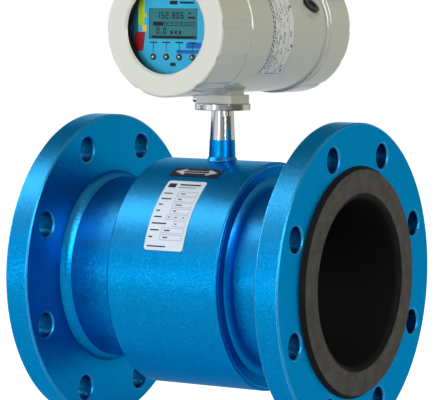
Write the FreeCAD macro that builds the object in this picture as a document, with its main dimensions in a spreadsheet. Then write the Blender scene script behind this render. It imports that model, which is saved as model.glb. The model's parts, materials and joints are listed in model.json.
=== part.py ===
import FreeCAD, Part
import os

import Sketcher
from FreeCAD import Placement, Rotation, Vector

# Electromagnetic flow meter, nominal bore 150: a lined and flanged measuring tube with
# its coil housing, and a round signal converter on a stem.
# Millimetres. +X runs along the pipe towards the outlet flange, +Z runs up the stem,
# the display faces -Y. The origin is the middle of the bore, halfway between the flanges.

doc = FreeCAD.newDocument("FlowMeter")

# ---------------------------------------------------------------------------------------
# Driving dimensions
# ---------------------------------------------------------------------------------------

SIZES = [
    # measuring tube, lining and flanges
    ("lay_length", 282.4, "between the two flange faces, steel to steel"),
    ("tube_od", 168.3, "measuring tube, outside diameter"),
    ("tube_wall", 4.5, "measuring tube, wall"),
    ("lining_wall", 4.65, "lining, wall inside the measuring tube"),
    ("lip_height", 4.5, "lining that stands proud of each flange face"),
    ("lip_gap", 4.45, "lining lip, land left between it and the bolt holes"),
    ("lip_taper", 3.1, "lining lip, slope of its edge"),
    ("mouth_radius", 6.0, "rounding of the lining where the bore opens"),
    ("flange_od", 285.0, "flange, outside diameter"),
    ("flange_thickness", 23.4, "flange, thickness"),
    ("bolt_margin", 22.5, "flange, from its rim in to the bolt circle"),
    ("bolt_hole", 22.5, "flange, bolt hole diameter"),
    ("bolt_count", 8, "flange, number of bolt holes"),
    ("flange_chamfer", 1.2, "flange, broken edges of rim and bolt holes"),
    ("flange_weld_length", 8.5, "fillet weld behind a flange, along the tube"),
    ("flange_weld_height", 6.0, "fillet weld behind a flange, up the flange"),
    # coil housing and magnet system
    ("coil_space", 17.15, "coil housing, room for the coils around the tube"),
    ("drum_length", 115.4, "coil housing, length over its end plates"),
    ("drum_wall", 3.0, "coil housing, wall of the rolled shell"),
    ("drum_edge", 2.0, "coil housing, rounding of the rolled edge"),
    ("end_plate", 5.0, "coil housing, thickness of an end plate"),
    ("drum_weld_length", 5.6, "weld of an end plate, along the tube"),
    ("drum_weld_height", 8.0, "weld of an end plate, up the plate"),
    ("yoke_gap", 1.0, "flux return band, gap to the coil housing"),
    ("yoke_wall", 2.5, "flux return band, thickness"),
    ("yoke_width", 44.0, "flux return band, width along the pipe"),
    ("core_length", 44.0, "pole core, along the pipe"),
    ("core_width", 64.0, "pole core, across the pipe"),
    ("coil_band", 16.0, "coil, width of the winding around its core"),
    ("coil_depth", 9.0, "coil, thickness of the winding over the tube"),
    ("coil_corner", 8.0, "coil, rounding of the winding's inner corners"),
    # electrodes
    ("electrode_head", 10.0, "electrode, head diameter"),
    ("electrode_shank", 5.0, "electrode, shank diameter"),
    ("electrode_length", 21.5, "electrode, length over all"),
    ("bush_dia", 12.0, "electrode bush, diameter in the tube wall"),
    ("bush_collar_dia", 18.0, "electrode bush, collar diameter"),
    ("bush_collar", 2.5, "electrode bush, collar thickness"),
    ("nut_width", 8.0, "electrode nut, across flats"),
    ("nut_height", 4.0, "electrode nut, height"),
    # stem between the coil housing and the converter
    ("stem_top_dia", 20.4, "stem, diameter under its disc"),
    ("stem_root_dia", 24.6, "stem, diameter at the coil housing"),
    ("stem_bore", 14.0, "stem, bore for the wires"),
    ("stem_root", 4.0, "stem, straight length at its root"),
    ("disc_dia", 51.3, "stem disc, diameter"),
    ("disc_thickness", 6.0, "stem disc, thickness"),
    ("disc_edge", 0.6, "stem disc, broken edge"),
    ("stem_height", 51.7, "stem, from the coil housing to the top of its disc"),
    ("stem_weld_width", 2.2, "stem weld, width of the bead"),
    ("stem_weld_height", 2.6, "stem weld, height of the bead"),
    ("stem_seal_dia", 23.0, "stem seal, outside diameter"),
    ("stem_seal_width", 2.6, "stem seal, width"),
    ("stem_seal_depth", 1.6, "stem seal, depth of its groove"),
    ("foot_screw_dia", 5.0, "foot screw, thread diameter"),
    ("foot_screw_head", 8.5, "foot screw, head diameter"),
    ("foot_screw_grip", 6.0, "foot screw, thread length in the foot"),
    ("foot_screw_hole", 5.6, "foot screw, clearance hole in the disc"),
    ("foot_screw_across", 12.0, "foot screw, offset from the stem along the pipe"),
    ("foot_screw_forward", 14.0, "foot screw, offset from the stem across the pipe"),
    # converter housing
    ("foot_height", 9.6, "converter foot, from the stem disc to the body"),
    ("body_dia", 117.0, "converter body, outside diameter"),
    ("body_front", 50.0, "converter body, from the stem to the front cover"),
    ("body_back", 95.0, "converter body, from the stem to the rear cover"),
    ("body_wall", 6.0, "converter body, wall"),
    ("collar_dia", 121.0, "converter body, collar diameter at both mouths"),
    ("front_collar", 11.0, "converter body, front collar width"),
    ("rear_collar", 6.4, "converter body, rear collar width"),
    ("collar_edge", 1.0, "converter body, broken edges of its collars"),
    ("partition_place", 20.0, "converter partition, distance behind the stem"),
    ("partition", 5.0, "converter partition, thickness"),
    ("wire_port", 18.0, "converter partition, port for the wires"),
    ("spigot_dia", 108.0, "threaded spigot for a cover, diameter"),
    ("spigot_length", 14.0, "threaded spigot for a cover, length"),
    ("foot_length", 38.0, "converter foot, along the pipe"),
    ("foot_width", 34.0, "converter foot, across the pipe"),
    ("foot_thickness", 8.0, "converter foot, thickness of the pad"),
    ("foot_corner", 2.5, "converter foot, corner radius"),
    ("pedestal_length", 33.0, "pedestal over the foot, along the pipe"),
    ("pedestal_width", 29.0, "pedestal over the foot, across the pipe"),
    ("pedestal_corner", 6.0, "pedestal over the foot, corner radius"),
    # covers
    ("cover_dia", 121.0, "cover, outside diameter over its ribs"),
    ("flute_count", 12, "cover, number of grip flutes"),
    ("flute_depth", 1.3, "cover, depth of a grip flute"),
    ("flute_radius", 10.0, "cover, radius of a grip flute"),
    ("flute_angle", 5.0, "front cover, turn of its flutes in degrees"),
    ("thread_gap", 0.3, "radial gap between a spigot and its cover"),
    ("thread_cover", 15.5, "cover, length bored for the spigot"),
    ("cover_edge", 2.4, "cover, rounding of the outer edge"),
    ("mouth_edge", 1.0, "cover, broken edge of its mouth"),
    ("front_cover_depth", 51.4, "front cover, length"),
    ("rear_cover_depth", 38.0, "rear cover, length"),
    ("rear_cover_wall", 5.0, "rear cover, thickness of its end"),
    ("cover_wall", 8.5, "cover, wall behind the thread"),
    ("cover_seal", 2.6, "cover seal, section diameter"),
    ("cover_seal_place", 2.6, "cover seal, distance from the cover's mouth"),
    ("seal_gap", 0.1, "gap around a seal or in a running fit"),
    # window
    ("window_dia", 80.0, "window, clear diameter"),
    ("window_bevel", 2.0, "window, bevel around the opening"),
    ("window_lip", 2.6, "window, thickness of the lip over the glass"),
    ("window_gasket", 0.8, "window gasket, thickness"),
    ("glass_dia", 92.0, "window glass, diameter"),
    ("glass_thickness", 6.0, "window glass, thickness"),
    ("ring_dia", 96.0, "retaining ring, outside diameter"),
    ("ring_opening", 85.2, "retaining ring, opening"),
    ("ring_width", 4.0, "retaining ring, width"),
    # display stack
    ("fascia_place", 87.0, "fascia front, distance before the stem"),
    ("fascia_dia", 88.0, "fascia, diameter"),
    ("fascia_thickness", 0.8, "fascia, thickness"),
    ("carrier_plate", 3.0, "display carrier, thickness of its plate"),
    ("carrier_rim", 2.0, "display carrier, thickness of its rim"),
    ("carrier_depth", 9.8, "display carrier, depth over all"),
    ("lcd_length", 50.4, "display opening, length"),
    ("lcd_height", 27.2, "display opening, height"),
    ("lcd_raise", 4.5, "display opening, height of its middle over the axis"),
    ("lcd_sink", 0.4, "display glass, depth below the fascia"),
    ("lcd_border", 3.0, "display glass, border behind the carrier"),
    ("lcd_gap", 0.2, "gap around the display glass"),
    ("key_dia", 5.6, "key, diameter"),
    ("key_gap", 0.3, "key, gap in its hole"),
    ("key_pitch", 13.6, "key, distance from key to key"),
    ("key_drop", 24.9, "key, distance below the axis"),
    ("key_stand", 1.2, "key, height over the fascia"),
    ("key_flange", 7.6, "key, diameter of its stop flange"),
    ("key_travel", 0.8, "key, travel"),
    ("switch_side", 6.0, "key switch, side"),
    ("switch_height", 3.0, "key switch, height"),
    ("board", 1.6, "circuit board, thickness"),
    ("pillar_width", 6.0, "board pillar, across flats"),
    ("pillar_circle", 72.0, "board pillars, pitch circle"),
    ("main_board_dia", 98.0, "main board, diameter"),
    ("main_board_place", 40.0, "main board front, distance before the stem"),
    ("power_board_dia", 98.0, "power board, diameter"),
    ("power_board_place", 2.0, "power board front, distance before the stem"),
    ("transformer_length", 40.0, "transformer, length"),
    ("transformer_height", 34.0, "transformer, height"),
    ("transformer_depth", 26.0, "transformer, depth"),
    # terminal compartment
    ("terminal_board_dia", 96.0, "terminal board, diameter"),
    ("terminal_pillar", 6.0, "terminal board, height over the partition"),
    ("terminal_length", 72.0, "terminal block, length"),
    ("terminal_height", 15.0, "terminal block, height"),
    ("terminal_depth", 14.0, "terminal block, depth"),
    ("terminal_ways", 12, "terminal block, number of ways"),
    ("wire_hole", 3.4, "terminal block, wire hole"),
    ("entry_angle", 45.0, "cable entry, angle above the level in degrees"),
    ("entry_offset", 23.6, "cable entry, how far its axis passes beside the converter axis"),
    ("entry_place", 64.0, "cable entry, distance behind the stem"),
    ("entry_thread", 13.5, "cable entry, thread diameter"),
    ("entry_boss", 22.0, "cable entry, boss diameter"),
    ("entry_reach", 53.6, "cable entry, boss face along the entry from the converter axis"),
    ("plug_head", 17.5, "blanking plug, head diameter"),
    ("plug_height", 2.0, "blanking plug, head height"),
    ("plug_slot", 9.0, "blanking plug, recess in the head"),
    ("plug_length", 9.0, "blanking plug, thread length"),
    ("plug_seal", 0.8, "blanking plug seal, thickness"),
    # small hardware and plates
    ("earth_screw_dia", 4.0, "earth screw, thread diameter"),
    ("earth_screw_head", 7.0, "earth screw, head diameter"),
    ("earth_screw_height", 4.0, "earth screw, head height"),
    ("earth_screw_forward", 10.5, "earth screw, offset towards the display"),
    ("earth_washer", 7.8, "earth screw, washer diameter"),
    ("earth_washer_thickness", 1.0, "earth screw, washer thickness"),
    ("plate_thickness", 0.4, "marking plates, thickness"),
    ("nameplate_length", 40.4, "nameplate on the coil housing, along the pipe"),
    ("nameplate_arc_angle", 41.0, "nameplate, angle around the pipe in degrees"),
    ("nameplate_low_angle", 15.5, "nameplate, lower edge above the level in degrees"),
    ("arrow_length", 51.0, "flow arrow plate, along the pipe"),
    ("arrow_arc_angle", 8.6, "flow arrow plate, angle around the pipe in degrees"),
    ("arrow_low_angle", 60.6, "flow arrow plate, lower edge in degrees"),
    ("rating_length", 41.0, "rating label on the converter, along its axis"),
    ("rating_arc_angle", 90.5, "rating label, angle around the converter in degrees"),
    ("rating_low_angle", -45.5, "rating label, lower edge in degrees"),
    ("rating_place", -12.5, "rating label, front edge behind the stem"),
]

sheet = doc.addObject("Spreadsheet::Sheet", "Sizes")
sheet.Label = "Sizes"
for row, (alias, value, note) in enumerate(SIZES, start=1):
    sheet.set(f"A{row}", note)
    sheet.set(f"B{row}", str(value))
    sheet.setAlias(f"B{row}", alias)
doc.recompute()


def size(expression):
    """Value in millimetres of an expression over the sheet."""
    value = sheet.evalExpression(expression)
    return float(getattr(value, "Value", value))


# Expressions that several pieces share.
TUBE = "Sizes.tube_od / 2"
TUBE_IN = "(Sizes.tube_od / 2 - Sizes.tube_wall)"
BORE = f"({TUBE_IN} - Sizes.lining_wall)"
FACE = "Sizes.lay_length / 2"
FLANGE_BACK = "(Sizes.lay_length / 2 - Sizes.flange_thickness)"
BOLT_CIRCLE = "(Sizes.flange_od / 2 - Sizes.bolt_margin)"
LIP = f"({BOLT_CIRCLE} - Sizes.bolt_hole / 2 - Sizes.lip_gap)"
DRUM_IN = "(Sizes.tube_od / 2 + Sizes.coil_space)"
DRUM = f"({DRUM_IN} + Sizes.drum_wall)"
DRUM_END = "Sizes.drum_length / 2"
YOKE = f"({DRUM_IN} - Sizes.yoke_gap)"
YOKE_IN = f"({YOKE} - Sizes.yoke_wall)"
BODY = "Sizes.body_dia / 2"
DISC_TOP = f"({DRUM} + Sizes.stem_height)"
DISC_UNDER = f"({DISC_TOP} - Sizes.disc_thickness)"
AXIS = f"({DISC_TOP} + Sizes.foot_height + {BODY})"
FOOT_UNDER = f"(-Sizes.foot_height - {BODY})"
BODY_IN = "(Sizes.body_dia / 2 - Sizes.body_wall)"
SPIGOT = "Sizes.spigot_dia / 2"
THREAD_BORE = "(Sizes.spigot_dia / 2 + Sizes.thread_gap)"
COVER = "Sizes.cover_dia / 2"
COVER_IN = "(Sizes.cover_dia / 2 - Sizes.cover_wall)"
SEAL_MIDDLE = "(Sizes.spigot_dia / 2 + Sizes.thread_gap + Sizes.seal_gap + Sizes.cover_seal / 2)"
FRONT_FACE = "(Sizes.body_front + Sizes.front_cover_depth)"
REAR_FACE = "(Sizes.body_back + Sizes.rear_cover_depth)"
GLASS_FRONT = f"({FRONT_FACE} - Sizes.window_lip - Sizes.window_gasket)"
GLASS_BACK = f"({GLASS_FRONT} - Sizes.glass_thickness)"
CARRIER_FRONT = "(Sizes.fascia_place - Sizes.fascia_thickness)"
CARRIER_BACK = f"({CARRIER_FRONT} - Sizes.carrier_plate)"
DISPLAY_BOARD_FRONT = f"({CARRIER_FRONT} - Sizes.carrier_depth)"
DISPLAY_BOARD_BACK = f"({DISPLAY_BOARD_FRONT} - Sizes.board)"
MAIN_BOARD_BACK = "(Sizes.main_board_place - Sizes.board)"
POWER_BOARD_BACK = "(Sizes.power_board_place - Sizes.board)"
PARTITION_BACK = "(Sizes.partition_place + Sizes.partition)"
TERMINAL_BOARD = f"({PARTITION_BACK} + Sizes.terminal_pillar)"

parts = []

# ---------------------------------------------------------------------------------------
# Helpers
# ---------------------------------------------------------------------------------------


def bind(obj, bindings):
    """Binds properties of an object to expressions over the sheet."""
    for path, expression in bindings.items():
        obj.setExpression(path, expression)
    return obj


def keep(obj, label):
    """Marks an object as a finished sub-part and gives it its name."""
    obj.Label = label
    parts.append(obj)
    return obj


def new_body(label, height=None):
    """A finished PartDesign body, raised to the height given by an expression."""
    body = keep(doc.addObject("PartDesign::Body", label), label)
    body.AllowCompound = True
    if height:
        bind(body, {".Placement.Base.z": height})
    return body


def origin(body, role):
    """Plane or axis of the body's own origin, such as XY_Plane or X_Axis."""
    return next(item for item in body.Origin.OriginFeatures if item.Role == role)


def sketch_on(body, plane, name, offset=None):
    """A sketch on one of the body's origin planes, moved along the plane's normal."""
    sketch = body.newObject("Sketcher::SketchObject", name)
    sketch.AttachmentSupport = [(origin(body, plane), "")]
    sketch.MapMode = "FlatFace"
    if offset:
        bind(sketch, {".AttachmentOffset.Base.z": offset})
    return sketch


def pin_point(sketch, geometry, point, across, up):
    """Ties a point of a sketch to two expressions, measured from the sketch's origin."""
    for kind, expression in (("DistanceX", across), ("DistanceY", up)):
        constraint = Sketcher.Constraint(kind, -1, 1, geometry, point, size(expression))
        index = sketch.addConstraint(constraint)
        sketch.setExpression(f"Constraints[{index}]", expression)


def outline(sketch, corners):
    """Closed outline of straight lines through corners given as pairs of expressions."""
    spots = [Vector(size(across), size(up), 0) for across, up in corners]
    first = sketch.GeometryCount
    count = len(corners)
    for index in range(count):
        sketch.addGeometry(Part.LineSegment(spots[index], spots[(index + 1) % count]), False)
    for index in range(count):
        following = first + (index + 1) % count
        sketch.addConstraint(Sketcher.Constraint("Coincident", first + index, 2, following, 1))
    for index, (across, up) in enumerate(corners):
        pin_point(sketch, first + index, 1, across, up)


def circle(sketch, radius, across="0", up="0"):
    """Circle in a sketch, its radius and centre given as expressions."""
    centre = Vector(size(across), size(up), 0)
    shape = Part.Circle(centre, Vector(0, 0, 1), size(radius))
    geometry = sketch.addGeometry(shape, False)
    index = sketch.addConstraint(Sketcher.Constraint("Radius", geometry, size(radius)))
    sketch.setExpression(f"Constraints[{index}]", radius)
    pin_point(sketch, geometry, 3, across, up)


def rectangle(sketch, length, height, across="0", up="0"):
    """Rectangle in a sketch around a middle point, all given as expressions."""
    left, right = f"{across} - ({length}) / 2", f"{across} + ({length}) / 2"
    low, high = f"{up} - ({height}) / 2", f"{up} + ({height}) / 2"
    outline(sketch, [(left, low), (right, low), (right, high), (left, high)])


def revolve(body, sketch, axis):
    """Turns a sketch about its H_Axis or V_Axis."""
    feature = body.newObject("PartDesign::Revolution", f"{body.Name}_turned")
    feature.Profile = sketch
    feature.ReferenceAxis = (sketch, [axis])
    feature.Angle = 360
    return feature


def pad(body, sketch, length, flip=False, midplane=False):
    """Pads a sketch along its plane's normal, or against it."""
    feature = body.newObject("PartDesign::Pad", f"{body.Name}_pad")
    feature.Profile = sketch
    feature.Reversed = flip
    feature.Midplane = midplane
    return bind(feature, {"Length": length})


def pocket(body, sketch, length=None, flip=False):
    """Cuts a sketch to a depth against its plane's normal, or right through both ways."""
    feature = body.newObject("PartDesign::Pocket", f"{body.Name}_pocket")
    feature.Profile = sketch
    feature.Reversed = flip
    if length:
        return bind(feature, {"Length": length})
    feature.Type = "ThroughAll"
    feature.Midplane = True
    return feature


def repeat_round(body, feature, axis, count):
    """Repeats a feature evenly around one of the body's origin axes."""
    pattern = body.newObject("PartDesign::PolarPattern", f"{body.Name}_round")
    pattern.Originals = [feature]
    pattern.Axis = (origin(body, axis), [""])
    pattern.Angle = 360
    bind(pattern, {"Occurrences": count})
    body.Tip = pattern
    return pattern


def edge_names(feature, test):
    """Names of a feature's edges that pass a test."""
    return [f"Edge{i}" for i, edge in enumerate(feature.Shape.Edges, start=1) if test(edge)]


def dress(body, kind, feature, test, amount):
    """Rounds (Fillet) or breaks (Chamfer) the edges of a feature that pass a test."""
    doc.recompute()
    edges = edge_names(feature, test)
    dressed = body.newObject(f"PartDesign::{kind}", f"{body.Name}_{kind.lower()}")
    dressed.Base = (feature, edges)
    prop = "Radius" if kind == "Fillet" else "Size"
    bind(dressed, {prop: amount})
    body.Tip = dressed
    return dressed


def close(value, target):
    """True when two lengths agree to a hundredth of a millimetre."""
    return abs(value - target) < 0.01


def is_ring(edge, radius, axis, place):
    """True for a full circle of a radius whose centre has a coordinate along an axis."""
    curve = edge.Curve
    if not isinstance(curve, Part.Circle) or not close(curve.Radius, radius):
        return False
    return close(getattr(curve.Center, axis), place)


def bolt_ring(edge, radius, reach):
    """True for a hole edge along X of a radius, its centre at a distance from the X axis."""
    curve = edge.Curve
    if not isinstance(curve, Part.Circle) or not close(curve.Radius, radius):
        return False
    return close((curve.Center.y ** 2 + curve.Center.z ** 2) ** 0.5, reach)


def upright_at(edge, axis):
    """True for a straight edge that runs along one axis."""
    if not isinstance(edge.Curve, Part.Line):
        return False
    return abs(getattr(edge.Curve.Direction, axis)) > 0.999


def turned(label, corners, axis="H_Axis", height=None):
    """A piece turned from one outline: about X with H_Axis, about Y with V_Axis."""
    body = new_body(label, height)
    sketch = sketch_on(body, "XY_Plane", f"{label}_profile")
    outline(sketch, corners)
    revolve(body, sketch, axis)
    return body


TURN = {
    "x": Rotation(Vector(0, 1, 0), 90),
    "y": Rotation(Vector(1, 0, 0), -90),
    "z": Rotation(),
}


def rod(name, axis, radius, length, place=None):
    """Part cylinder along +x, +y or +z, from a place given as a dict of expressions."""
    item = doc.addObject("Part::Cylinder", name)
    item.Placement = Placement(Vector(), TURN[axis])
    bind(item, {"Radius": radius, "Height": length})
    return bind(item, {f".Placement.Base.{key}": text for key, text in (place or {}).items()})


def block(name, length, width, height, place):
    """Part box, its sides and its lowest corner given as expressions."""
    item = doc.addObject("Part::Box", name)
    bind(item, {"Length": length, "Width": width, "Height": height})
    return bind(item, {f".Placement.Base.{key}": text for key, text in place.items()})


def boolean(kind, name, base, tool):
    """Part::Cut or Part::Common of two objects."""
    item = doc.addObject(f"Part::{kind}", name)
    item.Base = base
    item.Tool = tool
    return item


def join(name, shapes):
    """Part::MultiFuse of several objects."""
    item = doc.addObject("Part::MultiFuse", name)
    item.Shapes = shapes
    return item


def gather(name, shapes):
    """Separate solids of one sub-part, such as a set of screws."""
    item = doc.addObject("Part::Compound", name)
    item.Links = shapes
    return item


def raise_to_converter(item):
    """Lifts a piece that is modelled around the converter's own axis."""
    return bind(item, {".Placement.Base.z": AXIS})


# ---------------------------------------------------------------------------------------
# Measuring tube, lining and flanges
# ---------------------------------------------------------------------------------------

SIDES = (("inlet", -1), ("outlet", 1))


def measuring_tube():
    """Steel tube with a hole for the electrode bush on each side."""
    body = turned("measuring_tube", [
        (f"-{FACE}", TUBE_IN), (FACE, TUBE_IN), (FACE, TUBE), (f"-{FACE}", TUBE)])
    holes = sketch_on(body, "XZ_Plane", "electrode_holes")
    circle(holes, "Sizes.bush_dia / 2")
    pocket(body, holes)


def lining():
    """Rubber lining: a sleeve in the tube that turns out over both flange faces."""
    end = f"({FACE} + Sizes.lip_height)"
    edge = f"({LIP} - Sizes.lip_taper)"
    body = turned("lining", [
        (f"-{end}", BORE), (end, BORE), (end, edge), (FACE, LIP), (FACE, TUBE_IN),
        (f"-{FACE}", TUBE_IN), (f"-{FACE}", LIP), (f"-{end}", edge)])
    holes = sketch_on(body, "XZ_Plane", "electrode_seats")
    circle(holes, "Sizes.electrode_head / 2")
    through = pocket(body, holes)
    doc.recompute()
    place = size(end)
    mouth = size(BORE)
    dress(body, "Fillet", through,
          lambda edge: is_ring(edge, mouth, "x", place) or is_ring(edge, mouth, "x", -place),
          "Sizes.mouth_radius")


def flange(label, side):
    """Flat welding flange with its ring of bolt holes and broken edges."""
    face, back = f"{side} * {FACE}", f"{side} * {FLANGE_BACK}"
    rim = "Sizes.flange_od / 2"
    body = turned(label, [(back, TUBE), (face, TUBE), (face, rim), (back, rim)])
    hole = sketch_on(body, "YZ_Plane", "bolt_hole")
    half_pitch = "180 deg / Sizes.bolt_count"
    circle(hole, "Sizes.bolt_hole / 2", f"{BOLT_CIRCLE} * cos({half_pitch})",
           f"{BOLT_CIRCLE} * sin({half_pitch})")
    holes = repeat_round(body, pocket(body, hole), "X_Axis", "Sizes.bolt_count")
    radius, reach = size("Sizes.bolt_hole / 2"), size(BOLT_CIRCLE)
    rim_radius = size(rim)
    ends = (size(face), size(back))
    dress(body, "Chamfer", holes,
          lambda edge: bolt_ring(edge, radius, reach)
          or any(is_ring(edge, rim_radius, "x", end) for end in ends),
          "Sizes.flange_chamfer")


def weld_bead(label, side, start, length, height):
    """Fillet weld around the tube, slightly full in the middle of its face."""
    toe = f"({start} + {length})"
    crown = f"({start} + 0.55 * {length})"
    turned(label, [
        (f"{side} * {start}", TUBE),
        (f"{side} * {toe}", TUBE),
        (f"{side} * {crown}", f"{TUBE} + 0.55 * {height}"),
        (f"{side} * {start}", f"{TUBE} + {height}")])


# ---------------------------------------------------------------------------------------
# Coil housing and magnet system
# ---------------------------------------------------------------------------------------


def coil_housing():
    """Rolled shell with rounded ends and a hole for the stem's root on top."""
    body = turned("coil_housing", [
        (f"-{DRUM_END}", DRUM_IN), (DRUM_END, DRUM_IN), (DRUM_END, DRUM), (f"-{DRUM_END}", DRUM)])
    hole = sketch_on(body, "XY_Plane", "stem_hole")
    circle(hole, "Sizes.stem_root_dia / 2")
    opened = pocket(body, hole, f"2 * {DRUM}", flip=True)
    doc.recompute()
    radius, place = size(DRUM), size(DRUM_END)
    dress(body, "Fillet", opened,
          lambda edge: is_ring(edge, radius, "x", place) or is_ring(edge, radius, "x", -place),
          "Sizes.drum_edge")


def end_plate(label, side):
    """Ring that closes the coil housing around the tube."""
    inner = f"({DRUM_END} - Sizes.end_plate)"
    turned(label, [
        (f"{side} * {inner}", TUBE), (f"{side} * {DRUM_END}", TUBE),
        (f"{side} * {DRUM_END}", DRUM_IN), (f"{side} * {inner}", DRUM_IN)])


def flux_yoke():
    """Iron band that closes the magnetic circuit around both pole cores."""
    half = "Sizes.yoke_width / 2"
    turned("flux_yoke", [(f"-{half}", YOKE_IN), (half, YOKE_IN), (half, YOKE), (f"-{half}", YOKE)])


def curved_block(name, length, width, outer, inner, side):
    """Upright block above or below the pipe, its top and bottom curved around the pipe."""
    if side > 0:
        floor = "0"
    else:
        floor = f"-({outer})"
    core = block(f"{name}_block", length, width, outer, {
        "x": f"-({length}) / 2", "y": f"-({width}) / 2", "z": floor})
    long_rod = {"x": f"-{FACE}"}
    shell = boolean("Cut", f"{name}_shell",
                    rod(f"{name}_outer", "x", outer, "Sizes.lay_length", long_rod),
                    rod(f"{name}_inner", "x", inner, "Sizes.lay_length", long_rod))
    return boolean("Common", name, core, shell)


def pole_core(label, side):
    """Iron core between the tube and the yoke, in the middle of its coil."""
    core = curved_block(f"{label}_form", "Sizes.core_length", "Sizes.core_width", YOKE_IN, TUBE,
                        side)
    keep(core, label)


def coil(label, side):
    """Saddle coil: a rounded frame around the pole core that lies on the tube."""
    outside = f"({TUBE} + Sizes.coil_depth)"
    full_length = "(Sizes.core_length + 2 * Sizes.coil_band)"
    full_width = "(Sizes.core_width + 2 * Sizes.coil_band)"
    saddle = curved_block(f"{label}_saddle", full_length, full_width, outside, TUBE, side)
    if side > 0:
        floor = "0"
    else:
        floor = f"-({outside})"
    window = block(f"{label}_window", "Sizes.core_length", "Sizes.core_width", outside, {
        "x": "-Sizes.core_length / 2", "y": "-Sizes.core_width / 2", "z": floor})
    framed = boolean("Cut", f"{label}_frame", saddle, window)
    doc.recompute()
    half_length = size(full_length) / 2
    half_width = size(full_width) / 2
    rounded = doc.addObject("Part::Fillet", f"{label}_rounded")
    rounded.Base = framed
    radius = size("Sizes.coil_corner")
    corners = [
        (index, radius, radius)
        for index, edge in enumerate(framed.Shape.Edges, start=1)
        if upright_at(edge, "z")
        and close(abs(edge.CenterOfMass.x), half_length)
        and close(abs(edge.CenterOfMass.y), half_width)]
    rounded.Edges = corners
    keep(rounded, label)


# ---------------------------------------------------------------------------------------
# Electrodes
# ---------------------------------------------------------------------------------------

HEAD_FACE = BORE
SHANK_END = f"({HEAD_FACE} + Sizes.electrode_length)"
BUSH_SEAT = TUBE_IN
COLLAR_TOP = f"({TUBE} + Sizes.bush_collar)"


def pair_across(label, make):
    """Two like pieces on either side of the tube, made pointing along +Y and -Y."""
    keep(gather(f"{label}_pair", [make(f"{label}_back", 1), make(f"{label}_front", -1)]), label)


def across_rod(name, side, radius, start, end):
    """Cylinder along Y from one distance from the pipe axis to another."""
    low = start if side > 0 else f"-({end})"
    return rod(name, "y", radius, f"{end} - {start}", {"y": low})


def electrode(name, side):
    """Electrode: a head that lies flush in the lining, and its shank."""
    head = across_rod(f"{name}_head", side, "Sizes.electrode_head / 2", HEAD_FACE, TUBE_IN)
    shank = across_rod(f"{name}_shank", side, "Sizes.electrode_shank / 2", TUBE_IN, SHANK_END)
    return join(name, [head, shank])


def electrode_bush(name, side):
    """Insulating bush in the tube wall with a collar outside."""
    sleeve = across_rod(f"{name}_sleeve", side, "Sizes.bush_dia / 2", BUSH_SEAT, TUBE)
    collar = across_rod(f"{name}_collar", side, "Sizes.bush_collar_dia / 2", TUBE, COLLAR_TOP)
    hole = across_rod(f"{name}_hole", side, "Sizes.electrode_shank / 2", BUSH_SEAT, COLLAR_TOP)
    return boolean("Cut", name, join(f"{name}_solid", [sleeve, collar]), hole)


def electrode_nut(name, side):
    """Hexagon nut that pulls the electrode against the lining."""
    hexagon = doc.addObject("Part::Prism", f"{name}_hexagon")
    hexagon.Polygon = 6
    hexagon.Placement = Placement(Vector(), TURN["y"])
    low = COLLAR_TOP if side > 0 else f"-({COLLAR_TOP} + Sizes.nut_height)"
    bind(hexagon, {
        "Circumradius": "Sizes.nut_width / 2 / cos(30 deg)",
        "Height": "Sizes.nut_height",
        ".Placement.Base.y": low})
    hole = across_rod(f"{name}_hole", side, "Sizes.electrode_shank / 2", COLLAR_TOP,
                      f"({COLLAR_TOP} + Sizes.nut_height)")
    return boolean("Cut", name, hexagon, hole)


# ---------------------------------------------------------------------------------------
# Stem
# ---------------------------------------------------------------------------------------

FOOT_SCREWS = (("front", 1, -1), ("back", -1, 1))
STEM_FLOOR = f"({YOKE} + Sizes.thread_gap)"
STEM_SHOULDER = f"({DRUM} + Sizes.stem_root)"


def stem():
    """Turned stem: a straight root in the housing, a taper, and the disc under the foot."""
    root, top = "Sizes.stem_root_dia / 2", "Sizes.stem_top_dia / 2"
    hollow, disc = "Sizes.stem_bore / 2", "Sizes.disc_dia / 2"
    seal_out = "Sizes.stem_seal_dia / 2"
    seal_in = "(Sizes.stem_seal_dia / 2 - Sizes.stem_seal_width)"
    groove = f"({DISC_TOP} - Sizes.stem_seal_depth)"
    body = new_body("stem")
    sketch = sketch_on(body, "XZ_Plane", "stem_profile")
    outline(sketch, [
        (hollow, STEM_FLOOR), (root, STEM_FLOOR), (root, STEM_SHOULDER), (top, DISC_UNDER),
        (disc, DISC_UNDER), (disc, DISC_TOP), (seal_out, DISC_TOP),
        (seal_out, groove), (seal_in, groove), (seal_in, DISC_TOP),
        (hollow, DISC_TOP)])
    revolve(body, sketch, "V_Axis")
    holes = sketch_on(body, "XY_Plane", "screw_holes", DISC_TOP)
    for _, right, back in FOOT_SCREWS:
        circle(holes, "Sizes.foot_screw_hole / 2", f"{right} * Sizes.foot_screw_across",
               f"{back} * Sizes.foot_screw_forward")
    drilled = pocket(body, holes, "Sizes.disc_thickness")
    doc.recompute()
    radius = size(disc)
    ends = (size(DISC_UNDER), size(DISC_TOP))
    dress(body, "Chamfer", drilled,
          lambda edge: any(is_ring(edge, radius, "z", end) for end in ends), "Sizes.disc_edge")


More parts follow.
